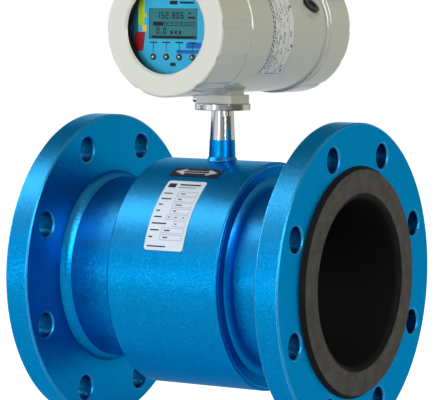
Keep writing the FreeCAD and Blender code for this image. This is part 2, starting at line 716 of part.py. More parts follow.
def stem_weld():
    """Weld bead around the stem's root, lying on the round housing."""
    floor = f"({DRUM_IN})"
    height = "(Sizes.drum_wall + Sizes.stem_weld_height)"
    cone = doc.addObject("Part::Cone", "stem_weld_cone")
    bind(cone, {
        "Radius1": "Sizes.stem_root_dia / 2 + Sizes.stem_weld_width * 1.6",
        "Radius2": "Sizes.stem_root_dia / 2 + 0.2",
        "Height": height,
        ".Placement.Base.z": floor})
    bore = rod("stem_weld_bore", "z", "Sizes.stem_root_dia / 2", height, {"z": floor})
    drum = rod("stem_weld_drum", "x", DRUM, "Sizes.drum_length", {"x": f"-{DRUM_END}"})
    ring = boolean("Cut", "stem_weld_ring", cone, bore)
    keep(boolean("Cut", "stem_weld_bead", ring, drum), "stem_weld")


def stem_seal():
    """Flat ring in the groove on top of the disc."""
    outer = "Sizes.stem_seal_dia / 2"
    low = {"z": f"{DISC_TOP} - Sizes.stem_seal_depth"}
    ring = boolean("Cut", "stem_seal_ring",
                   rod("stem_seal_outer", "z", outer, "Sizes.stem_seal_depth", low),
                   rod("stem_seal_inner", "z", f"{outer} - Sizes.stem_seal_width",
                       "Sizes.stem_seal_depth", low))
    keep(ring, "stem_seal")


def foot_screws():
    """Two socket head screws, from below the disc into the converter's foot."""
    screws = []
    for name, right, back in FOOT_SCREWS:
        spot = {"x": f"{right} * Sizes.foot_screw_across", "y": f"{back} * Sizes.foot_screw_forward"}
        head_low = f"{DISC_UNDER} - Sizes.foot_screw_dia"
        head = rod(f"screw_head_{name}", "z", "Sizes.foot_screw_head / 2", "Sizes.foot_screw_dia",
                   {**spot, "z": head_low})
        shank = rod(f"screw_shank_{name}", "z", "Sizes.foot_screw_dia / 2",
                    "Sizes.disc_thickness + Sizes.foot_screw_grip", {**spot, "z": DISC_UNDER})
        socket = doc.addObject("Part::Prism", f"screw_socket_{name}")
        socket.Polygon = 6
        bind(socket, {
            "Circumradius": "Sizes.foot_screw_dia * 0.46",
            "Height": "Sizes.foot_screw_dia * 0.5",
            ".Placement.Base.x": spot["x"],
            ".Placement.Base.y": spot["y"],
            ".Placement.Base.z": head_low})
        solid = join(f"screw_solid_{name}", [head, shank])
        screws.append(boolean("Cut", f"foot_screw_{name}", solid, socket))
    keep(gather("foot_screw_set", screws), "foot_screws")


# ---------------------------------------------------------------------------------------
# Converter housing
# ---------------------------------------------------------------------------------------

ENTRY_SIDES = (("right", 1), ("left", -1))
ENTRY_INSIDE = f"({BODY_IN} - Sizes.entry_offset)"
ENTRY_SEAT = "(Sizes.entry_reach + Sizes.plug_seal)"


def entry_rod(name, side, radius, start, end):
    """Cylinder along the cable entry of one side, between two distances along its axis."""
    angle, offset = "(Sizes.entry_angle * 1 deg)", "Sizes.entry_offset"
    item = doc.addObject("Part::Cylinder", name)
    bind(item, {
        "Radius": radius,
        "Height": f"{end} - {start}",
        ".Placement.Base.x": f"{side} * ({start} * cos{angle} + {offset} * sin{angle})",
        ".Placement.Base.y": "Sizes.entry_place",
        ".Placement.Base.z": f"{start} * sin{angle} - {offset} * cos{angle}"})
    item.Placement = Placement(item.Placement.Base,
                               Rotation(Vector(0, 1, 0), side * (90 - size("Sizes.entry_angle"))))
    return item


def converter_housing():
    """Cast housing with two compartments, threaded spigots, a foot and cable entries."""
    body = doc.addObject("PartDesign::Body", "converter_casting")
    sketch = sketch_on(body, "XY_Plane", "housing_profile")
    front_end = "-(Sizes.body_front + Sizes.spigot_length)"
    rear_end = "(Sizes.body_back + Sizes.spigot_length)"
    front_collar = "-(Sizes.body_front - Sizes.front_collar)"
    rear_collar = "(Sizes.body_back - Sizes.rear_collar)"
    edge, rim = "Sizes.collar_edge", "Sizes.collar_dia / 2"
    port = "Sizes.wire_port / 2"
    outline(sketch, [
        (BODY_IN, front_end), (SPIGOT, front_end), (SPIGOT, "-Sizes.body_front"),
        (f"{rim} - {edge}", "-Sizes.body_front"), (rim, f"-Sizes.body_front + {edge}"),
        (rim, f"{front_collar} - {edge}"), (f"{rim} - {edge}", front_collar),
        (BODY, front_collar), (BODY, rear_collar),
        (f"{rim} - {edge}", rear_collar), (rim, f"{rear_collar} + {edge}"),
        (rim, f"Sizes.body_back - {edge}"), (f"{rim} - {edge}", "Sizes.body_back"),
        (SPIGOT, "Sizes.body_back"),
        (SPIGOT, rear_end), (BODY_IN, rear_end), (BODY_IN, PARTITION_BACK),
        (port, PARTITION_BACK), (port, "Sizes.partition_place"),
        (BODY_IN, "Sizes.partition_place")])
    revolve(body, sketch, "V_Axis")

    foot = sketch_on(body, "XY_Plane", "foot_outline", FOOT_UNDER)
    rectangle(foot, "Sizes.foot_length", "Sizes.foot_width")
    foot_pad = pad(body, foot, "Sizes.foot_thickness")
    doc.recompute()
    half_length, half_width = size("Sizes.foot_length / 2"), size("Sizes.foot_width / 2")
    dress(body, "Fillet", foot_pad,
          lambda edge: upright_at(edge, "z") and close(abs(edge.CenterOfMass.x), half_length)
          and close(abs(edge.CenterOfMass.y), half_width), "Sizes.foot_corner")

    pedestal = sketch_on(body, "XY_Plane", "pedestal_outline",
                         f"{FOOT_UNDER} + Sizes.foot_thickness")
    rectangle(pedestal, "Sizes.pedestal_length", "Sizes.pedestal_width")
    rise = f"-({FOOT_UNDER} + Sizes.foot_thickness) - ({BODY_IN} + {BODY}) / 2"
    column = pad(body, pedestal, rise)
    doc.recompute()
    half_long, half_wide = size("Sizes.pedestal_length / 2"), size("Sizes.pedestal_width / 2")
    dress(body, "Fillet", column,
          lambda edge: upright_at(edge, "z") and close(abs(edge.CenterOfMass.x), half_long)
          and close(abs(edge.CenterOfMass.y), half_wide), "Sizes.pedestal_corner")

    duct = sketch_on(body, "XY_Plane", "wire_duct", FOOT_UNDER)
    circle(duct, "Sizes.stem_bore / 2")
    pocket(body, duct, f"-({FOOT_UNDER}) - {BODY_IN} + Sizes.body_wall", flip=True)
    threads = sketch_on(body, "XY_Plane", "foot_threads", FOOT_UNDER)
    for _, right, back in FOOT_SCREWS:
        circle(threads, "Sizes.foot_screw_dia / 2", f"{right} * Sizes.foot_screw_across",
               f"{back} * Sizes.foot_screw_forward")
    pocket(body, threads, "Sizes.foot_screw_grip + Sizes.seal_gap", flip=True)

    earth = sketch_on(body, "YZ_Plane", "earth_thread", "-Sizes.foot_length / 2")
    circle(earth, "Sizes.earth_screw_dia / 2", "-Sizes.earth_screw_forward",
           f"{FOOT_UNDER} + Sizes.foot_thickness / 2")
    pocket(body, earth, "Sizes.earth_screw_dia * 1.5 + Sizes.seal_gap", flip=True)

    face = "Sizes.entry_reach"
    bosses = [entry_rod(f"entry_boss_{name}", side, "Sizes.entry_boss / 2", ENTRY_INSIDE, face)
              for name, side in ENTRY_SIDES]
    inside = rod("entry_boss_trim", "y", BODY_IN, "Sizes.body_back", {})
    with_bosses = boolean("Cut", "entry_bosses", join("entry_boss_pair", bosses), inside)
    solid = join("housing_with_bosses", [body, with_bosses])
    drills = []
    for name, side in ENTRY_SIDES:
        drills.append(entry_rod(f"entry_drill_{name}", side, "Sizes.entry_thread / 2",
                                ENTRY_INSIDE, face))
        drills.append(entry_rod(f"entry_spot_face_{name}", side, "Sizes.entry_boss / 2",
                                face, BODY))
    housing = boolean("Cut", "housing_drilled", solid, join("entry_drills", drills))
    keep(raise_to_converter(housing), "converter_housing")


def cable_entry_plugs():
    """Blanking plugs in both cable entries, each with a recess in its head."""
    plugs = []
    seals = []
    top = f"({ENTRY_SEAT} + Sizes.plug_height)"
    for name, side in ENTRY_SIDES:
        head = entry_rod(f"plug_head_{name}", side, "Sizes.plug_head / 2", ENTRY_SEAT, top)
        shank = entry_rod(f"plug_shank_{name}", side, "Sizes.entry_thread / 2",
                          f"({ENTRY_SEAT} - Sizes.plug_length)", ENTRY_SEAT)
        recess = entry_rod(f"plug_recess_{name}", side, "Sizes.plug_slot / 2",
                           f"({top} - Sizes.plug_height * 0.6)", top)
        plugs.append(boolean("Cut", f"cable_plug_{name}",
                             join(f"plug_solid_{name}", [head, shank]), recess))
        disc = entry_rod(f"seal_disc_{name}", side, "Sizes.plug_head / 2 - 0.5",
                         "Sizes.entry_reach", ENTRY_SEAT)
        hole = entry_rod(f"seal_hole_{name}", side, "Sizes.entry_thread / 2",
                         "Sizes.entry_reach", ENTRY_SEAT)
        seals.append(boolean("Cut", f"plug_seal_{name}", disc, hole))
    keep(raise_to_converter(gather("plug_set", plugs)), "cable_entry_plugs")
    keep(raise_to_converter(gather("plug_seal_set", seals)), "cable_entry_seals")


def earth_screw():
    """Earth screw with its washer on the side of the foot."""
    level = f"{AXIS} + {FOOT_UNDER} + Sizes.foot_thickness / 2"
    side = "(-Sizes.foot_length / 2)"
    spot = {"y": "-Sizes.earth_screw_forward", "z": level}
    washer_face = f"({side} - Sizes.earth_washer_thickness)"
    grip = "Sizes.earth_screw_dia * 1.5"
    head = rod("earth_head", "x", "Sizes.earth_screw_head / 2", "Sizes.earth_screw_height",
               {**spot, "x": f"{washer_face} - Sizes.earth_screw_height"})
    shank = rod("earth_shank", "x", "Sizes.earth_screw_dia / 2",
                f"Sizes.earth_washer_thickness + {grip}", {**spot, "x": washer_face})
    socket = doc.addObject("Part::Prism", "earth_socket")
    socket.Polygon = 6
    socket.Placement = Placement(Vector(), TURN["x"])
    bind(socket, {
        "Circumradius": "Sizes.earth_screw_dia * 0.46",
        "Height": "Sizes.earth_screw_height * 0.5",
        ".Placement.Base.x": f"{washer_face} - Sizes.earth_screw_height",
        ".Placement.Base.y": spot["y"],
        ".Placement.Base.z": level})
    keep(boolean("Cut", "earth_screw_solid", join("earth_solid", [head, shank]), socket),
         "earth_screw")
    disc = rod("earth_disc", "x", "Sizes.earth_washer / 2", "Sizes.earth_washer_thickness",
               {**spot, "x": washer_face})
    hole = rod("earth_hole", "x", "Sizes.earth_screw_dia / 2", "Sizes.earth_washer_thickness",
               {**spot, "x": washer_face})
    keep(boolean("Cut", "earth_washer_ring", disc, hole), "earth_washer")


# ---------------------------------------------------------------------------------------
# Covers
# ---------------------------------------------------------------------------------------


def seal_groove(sign, mouth):
    """Corners of the seal groove just inside a cover's mouth."""
    low = f"{sign} * ({mouth} + Sizes.cover_seal_place - Sizes.cover_seal / 2 - Sizes.seal_gap)"
    high = f"{sign} * ({mouth} + Sizes.cover_seal_place + Sizes.cover_seal / 2 + Sizes.seal_gap)"
    floor = f"{SEAL_MIDDLE} + Sizes.cover_seal / 2 + Sizes.seal_gap"
    return [(THREAD_BORE, high), (floor, high), (floor, low), (THREAD_BORE, low)]


def fluted_cover(label, corners, end_face, turn):
    """Screw cover turned from an outline, its outer edge rounded, then fluted for grip."""
    body = new_body(label, AXIS)
    profile = sketch_on(body, "XY_Plane", f"{label}_profile")
    outline(profile, corners)
    blank = revolve(body, profile, "V_Axis")
    doc.recompute()
    radius, place = size(COVER), size(end_face)
    rounded = dress(body, "Fillet", blank, lambda edge: is_ring(edge, radius, "y", place),
                    "Sizes.cover_edge")
    flute = sketch_on(body, "XZ_Plane", f"{label}_flute")
    middle = f"({COVER} - Sizes.flute_depth + Sizes.flute_radius)"
    circle(flute, "Sizes.flute_radius", f"{middle} * cos({turn} * 1 deg)",
           f"{middle} * sin({turn} * 1 deg)")
    doc.recompute()
    if rounded.Shape.isNull():
        raise RuntimeError(f"{label}: rounded blank failed")
    repeat_round(body, pocket(body, flute), "Y_Axis", "Sizes.flute_count")
    return body


def front_cover():
    """Front cover: a threaded cup with a bevelled window and a seat for the glass."""
    face, lip = f"-{FRONT_FACE}", f"-({FRONT_FACE} - Sizes.window_lip)"
    bevel = f"-({FRONT_FACE} - Sizes.window_bevel)"
    window = "Sizes.window_dia / 2"
    glass = "Sizes.glass_dia / 2"
    ring = "Sizes.ring_dia / 2"
    ring_back = f"-({GLASS_BACK} - Sizes.ring_width)"
    thread_end = "-(Sizes.body_front + Sizes.thread_cover)"
    fluted_cover("front_cover", [
        (f"{window} + Sizes.window_bevel", face), (COVER, face),
        (COVER, "-(Sizes.body_front + Sizes.mouth_edge)"),
        (f"{COVER} - Sizes.mouth_edge", "-Sizes.body_front"),
        (THREAD_BORE, "-Sizes.body_front"), *reversed(seal_groove(-1, "Sizes.body_front")),
        (THREAD_BORE, thread_end), (COVER_IN, thread_end), (COVER_IN, ring_back),
        (ring, ring_back), (ring, f"-{GLASS_BACK}"), (glass, f"-{GLASS_BACK}"),
        (glass, lip), (window, lip), (window, bevel)], face, "Sizes.flute_angle")


def rear_cover():
    """Rear cover: a closed threaded cup."""
    thread_end = "(Sizes.body_back + Sizes.thread_cover)"
    floor = f"({REAR_FACE} - Sizes.rear_cover_wall)"
    fluted_cover("rear_cover", [
        ("0", floor), (COVER_IN, floor), (COVER_IN, thread_end), (THREAD_BORE, thread_end),
        *seal_groove(1, "Sizes.body_back"),
        (THREAD_BORE, "Sizes.body_back"), (f"{COVER} - Sizes.mouth_edge", "Sizes.body_back"),
        (COVER, "Sizes.body_back + Sizes.mouth_edge"), (COVER, REAR_FACE), ("0", REAR_FACE)],
        REAR_FACE, "0")


def cover_seal(label, sign, mouth):
    """Round seal in the cover's groove, running on the spigot."""
    ring = doc.addObject("Part::Torus", f"{label}_ring")
    ring.Placement = Placement(Vector(), TURN["y"])
    bind(ring, {
        "Radius1": SEAL_MIDDLE,
        "Radius2": "Sizes.cover_seal / 2",
        ".Placement.Base.y": f"{sign} * ({mouth} + Sizes.cover_seal_place)",
        ".Placement.Base.z": AXIS})
    keep(ring, label)


def window_stack():
    """Gasket, glass and retaining ring behind the window."""
    glass, gap = "(Sizes.glass_dia / 2 - Sizes.seal_gap)", "Sizes.seal_gap"
    lip = f"-({FRONT_FACE} - Sizes.window_lip)"
    opening = "(Sizes.window_dia / 2 + 0.4)"
    turned("window_gasket", [
        (opening, lip), (glass, lip), (glass, f"-{GLASS_FRONT}"), (opening, f"-{GLASS_FRONT}")],
        "V_Axis", AXIS)
    turned("window_glass", [
        ("0", f"-{GLASS_FRONT}"), (glass, f"-{GLASS_FRONT}"), (glass, f"-{GLASS_BACK}"),
        ("0", f"-{GLASS_BACK}")], "V_Axis", AXIS)
    outer, inner = f"(Sizes.ring_dia / 2 - {gap})", "Sizes.ring_opening / 2"
    ring_back = f"-({GLASS_BACK} - Sizes.ring_width)"
    body = turned("glass_retaining_ring", [
        (inner, f"-{GLASS_BACK}"), (outer, f"-{GLASS_BACK}"), (outer, ring_back),
        (inner, ring_back)], "V_Axis", AXIS)
    slots = sketch_on(body, "XZ_Plane", "spanner_slots", f"{GLASS_BACK} - Sizes.ring_width")
    rectangle(slots, "Sizes.ring_dia + 2", "Sizes.ring_width * 0.75")
    pocket(body, slots, "Sizes.ring_width * 0.4", flip=True)


# ---------------------------------------------------------------------------------------
# Display and electronics
# ---------------------------------------------------------------------------------------


def display_openings(body, plane, margin):
    """Openings for the display glass and the four keys, cut through a plate."""
    cuts = sketch_on(body, plane, f"{body.Name}_openings")
    rectangle(cuts, f"(Sizes.lcd_length + {margin})", f"(Sizes.lcd_height + {margin})", "0",
              "Sizes.lcd_raise")
    for place in KEY_PLACES:
        circle(cuts, "Sizes.key_dia / 2 + Sizes.key_gap", f"{place} * Sizes.key_pitch",
               "-Sizes.key_drop")
    pocket(body, cuts)


KEY_PLACES = (-1.5, -0.5, 0.5, 1.5)


def display_fascia():
    """Printed sheet over the display carrier."""
    body = turned("display_fascia", [
        ("0", "-Sizes.fascia_place"), ("Sizes.fascia_dia / 2", "-Sizes.fascia_place"),
        ("Sizes.fascia_dia / 2", f"-{CARRIER_FRONT}"), ("0", f"-{CARRIER_FRONT}")],
        "V_Axis", AXIS)
    display_openings(body, "XZ_Plane", "0")


def display_carrier():
    """Moulded cup that holds the display glass, the keys and the display board."""
    rim = "Sizes.fascia_dia / 2"
    rim_in = "(Sizes.fascia_dia / 2 - Sizes.carrier_rim)"
    body = turned("display_carrier", [
        ("0", f"-{CARRIER_FRONT}"), (rim, f"-{CARRIER_FRONT}"), (rim, f"-{DISPLAY_BOARD_FRONT}"),
        (rim_in, f"-{DISPLAY_BOARD_FRONT}"), (rim_in, f"-{CARRIER_BACK}"),
        ("0", f"-{CARRIER_BACK}")], "V_Axis", AXIS)
    display_openings(body, "XZ_Plane", "0")


def lcd_module():
    """Display glass in its opening, and the wider body behind the carrier."""
    gap = "2 * Sizes.lcd_gap"
    glass_front = "(Sizes.fascia_place - Sizes.lcd_sink)"
    length, height = f"(Sizes.lcd_length - {gap})", f"(Sizes.lcd_height - {gap})"
    glass = block("lcd_glass", length, f"{glass_front} - {CARRIER_BACK}", height, {
        "x": f"-{length} / 2", "y": f"-{glass_front}", "z": f"Sizes.lcd_raise - {height} / 2"})
    wide = "(Sizes.lcd_length + 2 * Sizes.lcd_border)"
    tall = "(Sizes.lcd_height + 2 * Sizes.lcd_border)"
    frame = block("lcd_frame", wide, f"{CARRIER_BACK} - {DISPLAY_BOARD_FRONT}", tall, {
        "x": f"-{wide} / 2", "y": f"-{CARRIER_BACK}", "z": f"Sizes.lcd_raise - {tall} / 2"})
    keep(raise_to_converter(join("lcd_solid", [glass, frame])), "lcd_module")


def key(number, place):
    """Push key with a stop flange behind the carrier, resting just off its switch."""
    body = new_body(f"key_{number}")
    bind(body, {
        ".Placement.Base.x": f"{place} * Sizes.key_pitch",
        ".Placement.Base.z": f"{AXIS} - Sizes.key_drop"})
    cap, stop = "Sizes.key_dia / 2", "Sizes.key_flange / 2"
    front = "(Sizes.fascia_place + Sizes.key_stand)"
    stop_front = f"({CARRIER_BACK} - 2 * Sizes.seal_gap)"
    stop_back = f"({stop_front} - Sizes.key_travel)"
    foot = f"({DISPLAY_BOARD_FRONT} + Sizes.switch_height + Sizes.key_travel + Sizes.seal_gap)"
    profile = sketch_on(body, "XY_Plane", f"key_{number}_profile")
    outline(profile, [
        ("0", f"-{front}"), (cap, f"-{front}"), (cap, f"-{stop_front}"), (stop, f"-{stop_front}"),
        (stop, f"-{stop_back}"), (cap, f"-{stop_back}"), (cap, f"-{foot}"), ("0", f"-{foot}")])
    turned_key = revolve(body, profile, "V_Axis")
    doc.recompute()
    radius, place_y = size(cap), -size(front)
    dress(body, "Fillet", turned_key, lambda edge: is_ring(edge, radius, "y", place_y),
          "Sizes.key_dia * 0.12")


def key_switches():
    """Four switches on the display board, one behind each key."""
    switches = []
    for number, place in enumerate(KEY_PLACES, start=1):
        switches.append(block(f"switch_{number}", "Sizes.switch_side", "Sizes.switch_height",
                              "Sizes.switch_side", {
                                  "x": f"{place} * Sizes.key_pitch - Sizes.switch_side / 2",
                                  "y": f"-({DISPLAY_BOARD_FRONT} + Sizes.switch_height)",
                                  "z": "-Sizes.key_drop - Sizes.switch_side / 2"}))
    keep(raise_to_converter(gather("switch_set", switches)), "key_switches")


def round_board(label, diameter, start, end):
    """Round circuit board between two places along the converter axis."""
    turned(label, [("0", start), (f"{diameter} / 2", start), (f"{diameter} / 2", end), ("0", end)],
           "V_Axis", AXIS)


def board_pillars(label, start, end):
    """Three hexagon pillars that carry a board."""
    pillars = []
    for number in range(3):
        pillar = doc.addObject("Part::Prism", f"{label}_{number}")
        pillar.Polygon = 6
        pillar.Placement = Placement(Vector(), TURN["y"])
        angle = f"{90 + 120 * number} deg"
        bind(pillar, {
            "Circumradius": "Sizes.pillar_width / 2 / cos(30 deg)",
            "Height": f"({end}) - ({start})",
            ".Placement.Base.x": f"Sizes.pillar_circle / 2 * cos({angle})",
            ".Placement.Base.y": start,
            ".Placement.Base.z": f"Sizes.pillar_circle / 2 * sin({angle})"})
        pillars.append(pillar)
    keep(raise_to_converter(gather(f"{label}_set", pillars)), label)


def transformer():
    """Mains transformer on the power board: a laminated core with the winding around it."""
    depth = "Sizes.transformer_depth"
    front = f"-(Sizes.power_board_place + {depth})"
    core = block("transformer_core", "Sizes.transformer_length", f"{depth} * 0.5",
                 "Sizes.transformer_height", {
                     "x": "-Sizes.transformer_length / 2",
                     "y": f"{front} + {depth} * 0.25",
                     "z": "-Sizes.transformer_height / 2"})
    winding = block("transformer_winding", "Sizes.transformer_length * 0.6", depth,
                    "Sizes.transformer_height * 0.7", {
                        "x": "-Sizes.transformer_length * 0.3",
                        "y": front,
                        "z": "-Sizes.transformer_height * 0.35"})
    keep(raise_to_converter(join("transformer_solid", [core, winding])), "transformer")


def terminal_block():
    """Terminal block with a wire hole for each way."""
    board_face = f"({TERMINAL_BOARD} + Sizes.board)"
    body = new_body("terminal_block", AXIS)
    base = sketch_on(body, "XZ_Plane", "terminal_outline", f"-{board_face}")
    rectangle(base, "Sizes.terminal_length", "Sizes.terminal_height", "0", "-Sizes.terminal_height")
    pad(body, base, "Sizes.terminal_depth", flip=True)
    holes = sketch_on(body, "XY_Plane", "wire_holes", "-1.5 * Sizes.terminal_height")
    pitch = "Sizes.terminal_length / Sizes.terminal_ways"
    circle(holes, "Sizes.wire_hole / 2", f"-Sizes.terminal_length / 2 + {pitch} / 2",
           f"{board_face} + Sizes.terminal_depth * 0.35")
    first = pocket(body, holes, "Sizes.terminal_height * 0.6", flip=True)
    row = body.newObject("PartDesign::LinearPattern", "wire_hole_row")
    row.Originals = [first]
    row.Direction = (origin(body, "X_Axis"), [""])
    bind(row, {
        "Length": f"Sizes.terminal_length - {pitch}",
        "Occurrences": "Sizes.terminal_ways"})
    body.Tip = row


# ---------------------------------------------------------------------------------------
# Marking plates
# ---------------------------------------------------------------------------------------


def curved_plate(label, axis, radius, length, start_along, sweep, start_angle):
    """Thin plate bent around X (angles rise from -Y) or around Y (angles rise from +X)."""
    outer = rod(f"{label}_outer", axis, f"{radius} + Sizes.plate_thickness", length)
    inner = rod(f"{label}_inner", axis, radius, length)
    bind(outer, {"Angle": f"{sweep} * 1 deg"})
    plate = boolean("Cut", f"{label}_plate", outer, inner)
    if axis == "x":
        # The sector of a cylinder along +X opens at -Z.
        turn = size(f"270 - {start_angle} - {sweep}")
        plate.Placement = Placement(Vector(), Rotation(Vector(1, 0, 0), turn))
        bind(plate, {".Placement.Base.x": start_along})
    else:
        turn = size(f"-({start_angle} + {sweep})")
        plate.Placement = Placement(Vector(), Rotation(Vector(0, 1, 0), turn))
        bind(plate, {".Placement.Base.y": start_along, ".Placement.Base.z": AXIS})
    keep(plate, label)


# ---------------------------------------------------------------------------------------
# The whole meter
# ---------------------------------------------------------------------------------------

measuring_tube()
lining()
for end_name, end_side in SIDES:
    flange(f"{end_name}_flange", end_side)
    weld_bead(f"{end_name}_flange_weld", f"-1 * {end_side}", f"(-1 * {FLANGE_BACK})",
              "Sizes.flange_weld_length", "Sizes.flange_weld_height")
    end_plate(f"{end_name}_end_plate", end_side)
    weld_bead(f"{end_name}_housing_weld", end_side, DRUM_END, "Sizes.drum_weld_length",
              "Sizes.drum_weld_height")
coil_housing()
flux_yoke()
for level, up in (("upper", 1), ("lower", -1)):
    pole_core(f"{level}_pole_core", up)
    coil(f"{level}_coil", up)
pair_across("electrodes", electrode)
pair_across("electrode_bushes", electrode_bush)
pair_across("electrode_nuts", electrode_nut)

stem()
stem_weld()
stem_seal()
foot_screws()

converter_housing()
cable_entry_plugs()
earth_screw()
front_cover()
rear_cover()
cover_seal("front_cover_seal", -1, "Sizes.body_front")
cover_seal("rear_cover_seal", 1, "Sizes.body_back")
window_stack()

display_fascia()
display_carrier()
lcd_module()
for key_number, key_place in enumerate(KEY_PLACES, start=1):
    key(key_number, key_place)
key_switches()
round_board("display_board", "Sizes.fascia_dia", f"-{DISPLAY_BOARD_FRONT}",
            f"-{DISPLAY_BOARD_BACK}")
board_pillars("display_pillars", f"-{DISPLAY_BOARD_BACK}", "-Sizes.main_board_place")
round_board("main_board", "Sizes.main_board_dia", "-Sizes.main_board_place",
            f"-{MAIN_BOARD_BACK}")
board_pillars("main_board_pillars", f"-{MAIN_BOARD_BACK}", "-Sizes.power_board_place")
round_board("power_board", "Sizes.power_board_dia", "-Sizes.power_board_place",
            f"-{POWER_BOARD_BACK}")
board_pillars("power_board_pillars", f"-{POWER_BOARD_BACK}", "Sizes.partition_place")
transformer()
board_pillars("terminal_board_pillars", PARTITION_BACK, TERMINAL_BOARD)
round_board("terminal_board", "Sizes.terminal_board_dia", TERMINAL_BOARD,
            f"{TERMINAL_BOARD} + Sizes.board")
terminal_block()

curved_plate("nameplate", "x", DRUM, "Sizes.nameplate_length", "-Sizes.nameplate_length / 2",
             "Sizes.nameplate_arc_angle", "Sizes.nameplate_low_angle")
curved_plate("flow_arrow_plate", "x", DRUM, "Sizes.arrow_length", "-Sizes.arrow_length / 2",
             "Sizes.arrow_arc_angle", "Sizes.arrow_low_angle")
curved_plate("rating_label", "y", BODY, "Sizes.rating_length", "Sizes.rating_place",
             "Sizes.rating_arc_angle", "Sizes.rating_low_angle")

# ---------------------------------------------------------------------------------------
# Check and write
# ---------------------------------------------------------------------------------------

doc.recompute()
for item in doc.Objects:
    if {"Invalid", "Error"} & set(item.State):
        raise RuntimeError(f"{item.Name} ({item.Label}) failed: {item.State}")
for part in parts:
    if part.Shape.isNull() or not part.Shape.isValid():
        raise RuntimeError(f"{part.Label} has no valid shape")

os.makedirs("parts", exist_ok=True)
for part in parts:
    part.Shape.exportStep(os.path.join("parts", f"{part.Label}.step"))
print(f"{len(parts)} sub-parts written")
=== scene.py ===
import json
import math
import random

import bpy
from mathutils import Matrix, Vector

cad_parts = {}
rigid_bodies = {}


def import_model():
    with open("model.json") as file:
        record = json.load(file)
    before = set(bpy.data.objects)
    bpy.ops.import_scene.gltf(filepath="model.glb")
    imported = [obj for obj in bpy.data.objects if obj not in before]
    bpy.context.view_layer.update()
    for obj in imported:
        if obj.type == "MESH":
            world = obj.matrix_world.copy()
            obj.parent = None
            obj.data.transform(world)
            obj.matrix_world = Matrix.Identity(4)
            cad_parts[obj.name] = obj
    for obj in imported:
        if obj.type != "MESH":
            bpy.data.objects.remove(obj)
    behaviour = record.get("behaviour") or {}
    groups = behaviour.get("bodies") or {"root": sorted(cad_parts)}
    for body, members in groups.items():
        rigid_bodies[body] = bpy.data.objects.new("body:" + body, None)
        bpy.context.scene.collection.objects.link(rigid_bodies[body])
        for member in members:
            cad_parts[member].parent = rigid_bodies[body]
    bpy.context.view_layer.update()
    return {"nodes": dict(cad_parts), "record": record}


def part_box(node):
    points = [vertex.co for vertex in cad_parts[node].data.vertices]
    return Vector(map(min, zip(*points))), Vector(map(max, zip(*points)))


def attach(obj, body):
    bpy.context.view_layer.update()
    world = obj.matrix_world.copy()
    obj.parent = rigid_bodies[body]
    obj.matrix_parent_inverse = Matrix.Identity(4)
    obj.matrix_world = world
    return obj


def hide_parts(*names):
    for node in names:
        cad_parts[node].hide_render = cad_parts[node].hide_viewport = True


for stale in list(bpy.data.objects):
    bpy.data.objects.remove(stale)

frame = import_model()
NODES = frame["nodes"]

MM = 0.001      # flat prints are laid out in millimetres, everything else in metres
SEED = 7        # of the one source of random draws, which only the prints use
rng = random.Random(SEED)


# --------------------------------------------------------------------------------------
# Places, from the CAD boxes
# --------------------------------------------------------------------------------------


def low(node):
    """Lowest corner of a CAD node."""
    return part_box(node)[0]


def high(node):
    """Highest corner of a CAD node."""
    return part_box(node)[1]


DRUM_R = (high("coil_housing").z - low("coil_housing").z) / 2
TUBE_R = (high("measuring_tube").y - low("measuring_tube").y) / 2
AXIS_Z = (high("front_cover").z + low("front_cover").z) / 2     # axis of the converter
LABEL_R = high("rating_label").x
BODY_R = LABEL_R - 0.0004                                       # under the rating label
FASCIA_Y = low("display_fascia").y
LCD_Y = low("lcd_module").y


# --------------------------------------------------------------------------------------
# Node helpers
# --------------------------------------------------------------------------------------


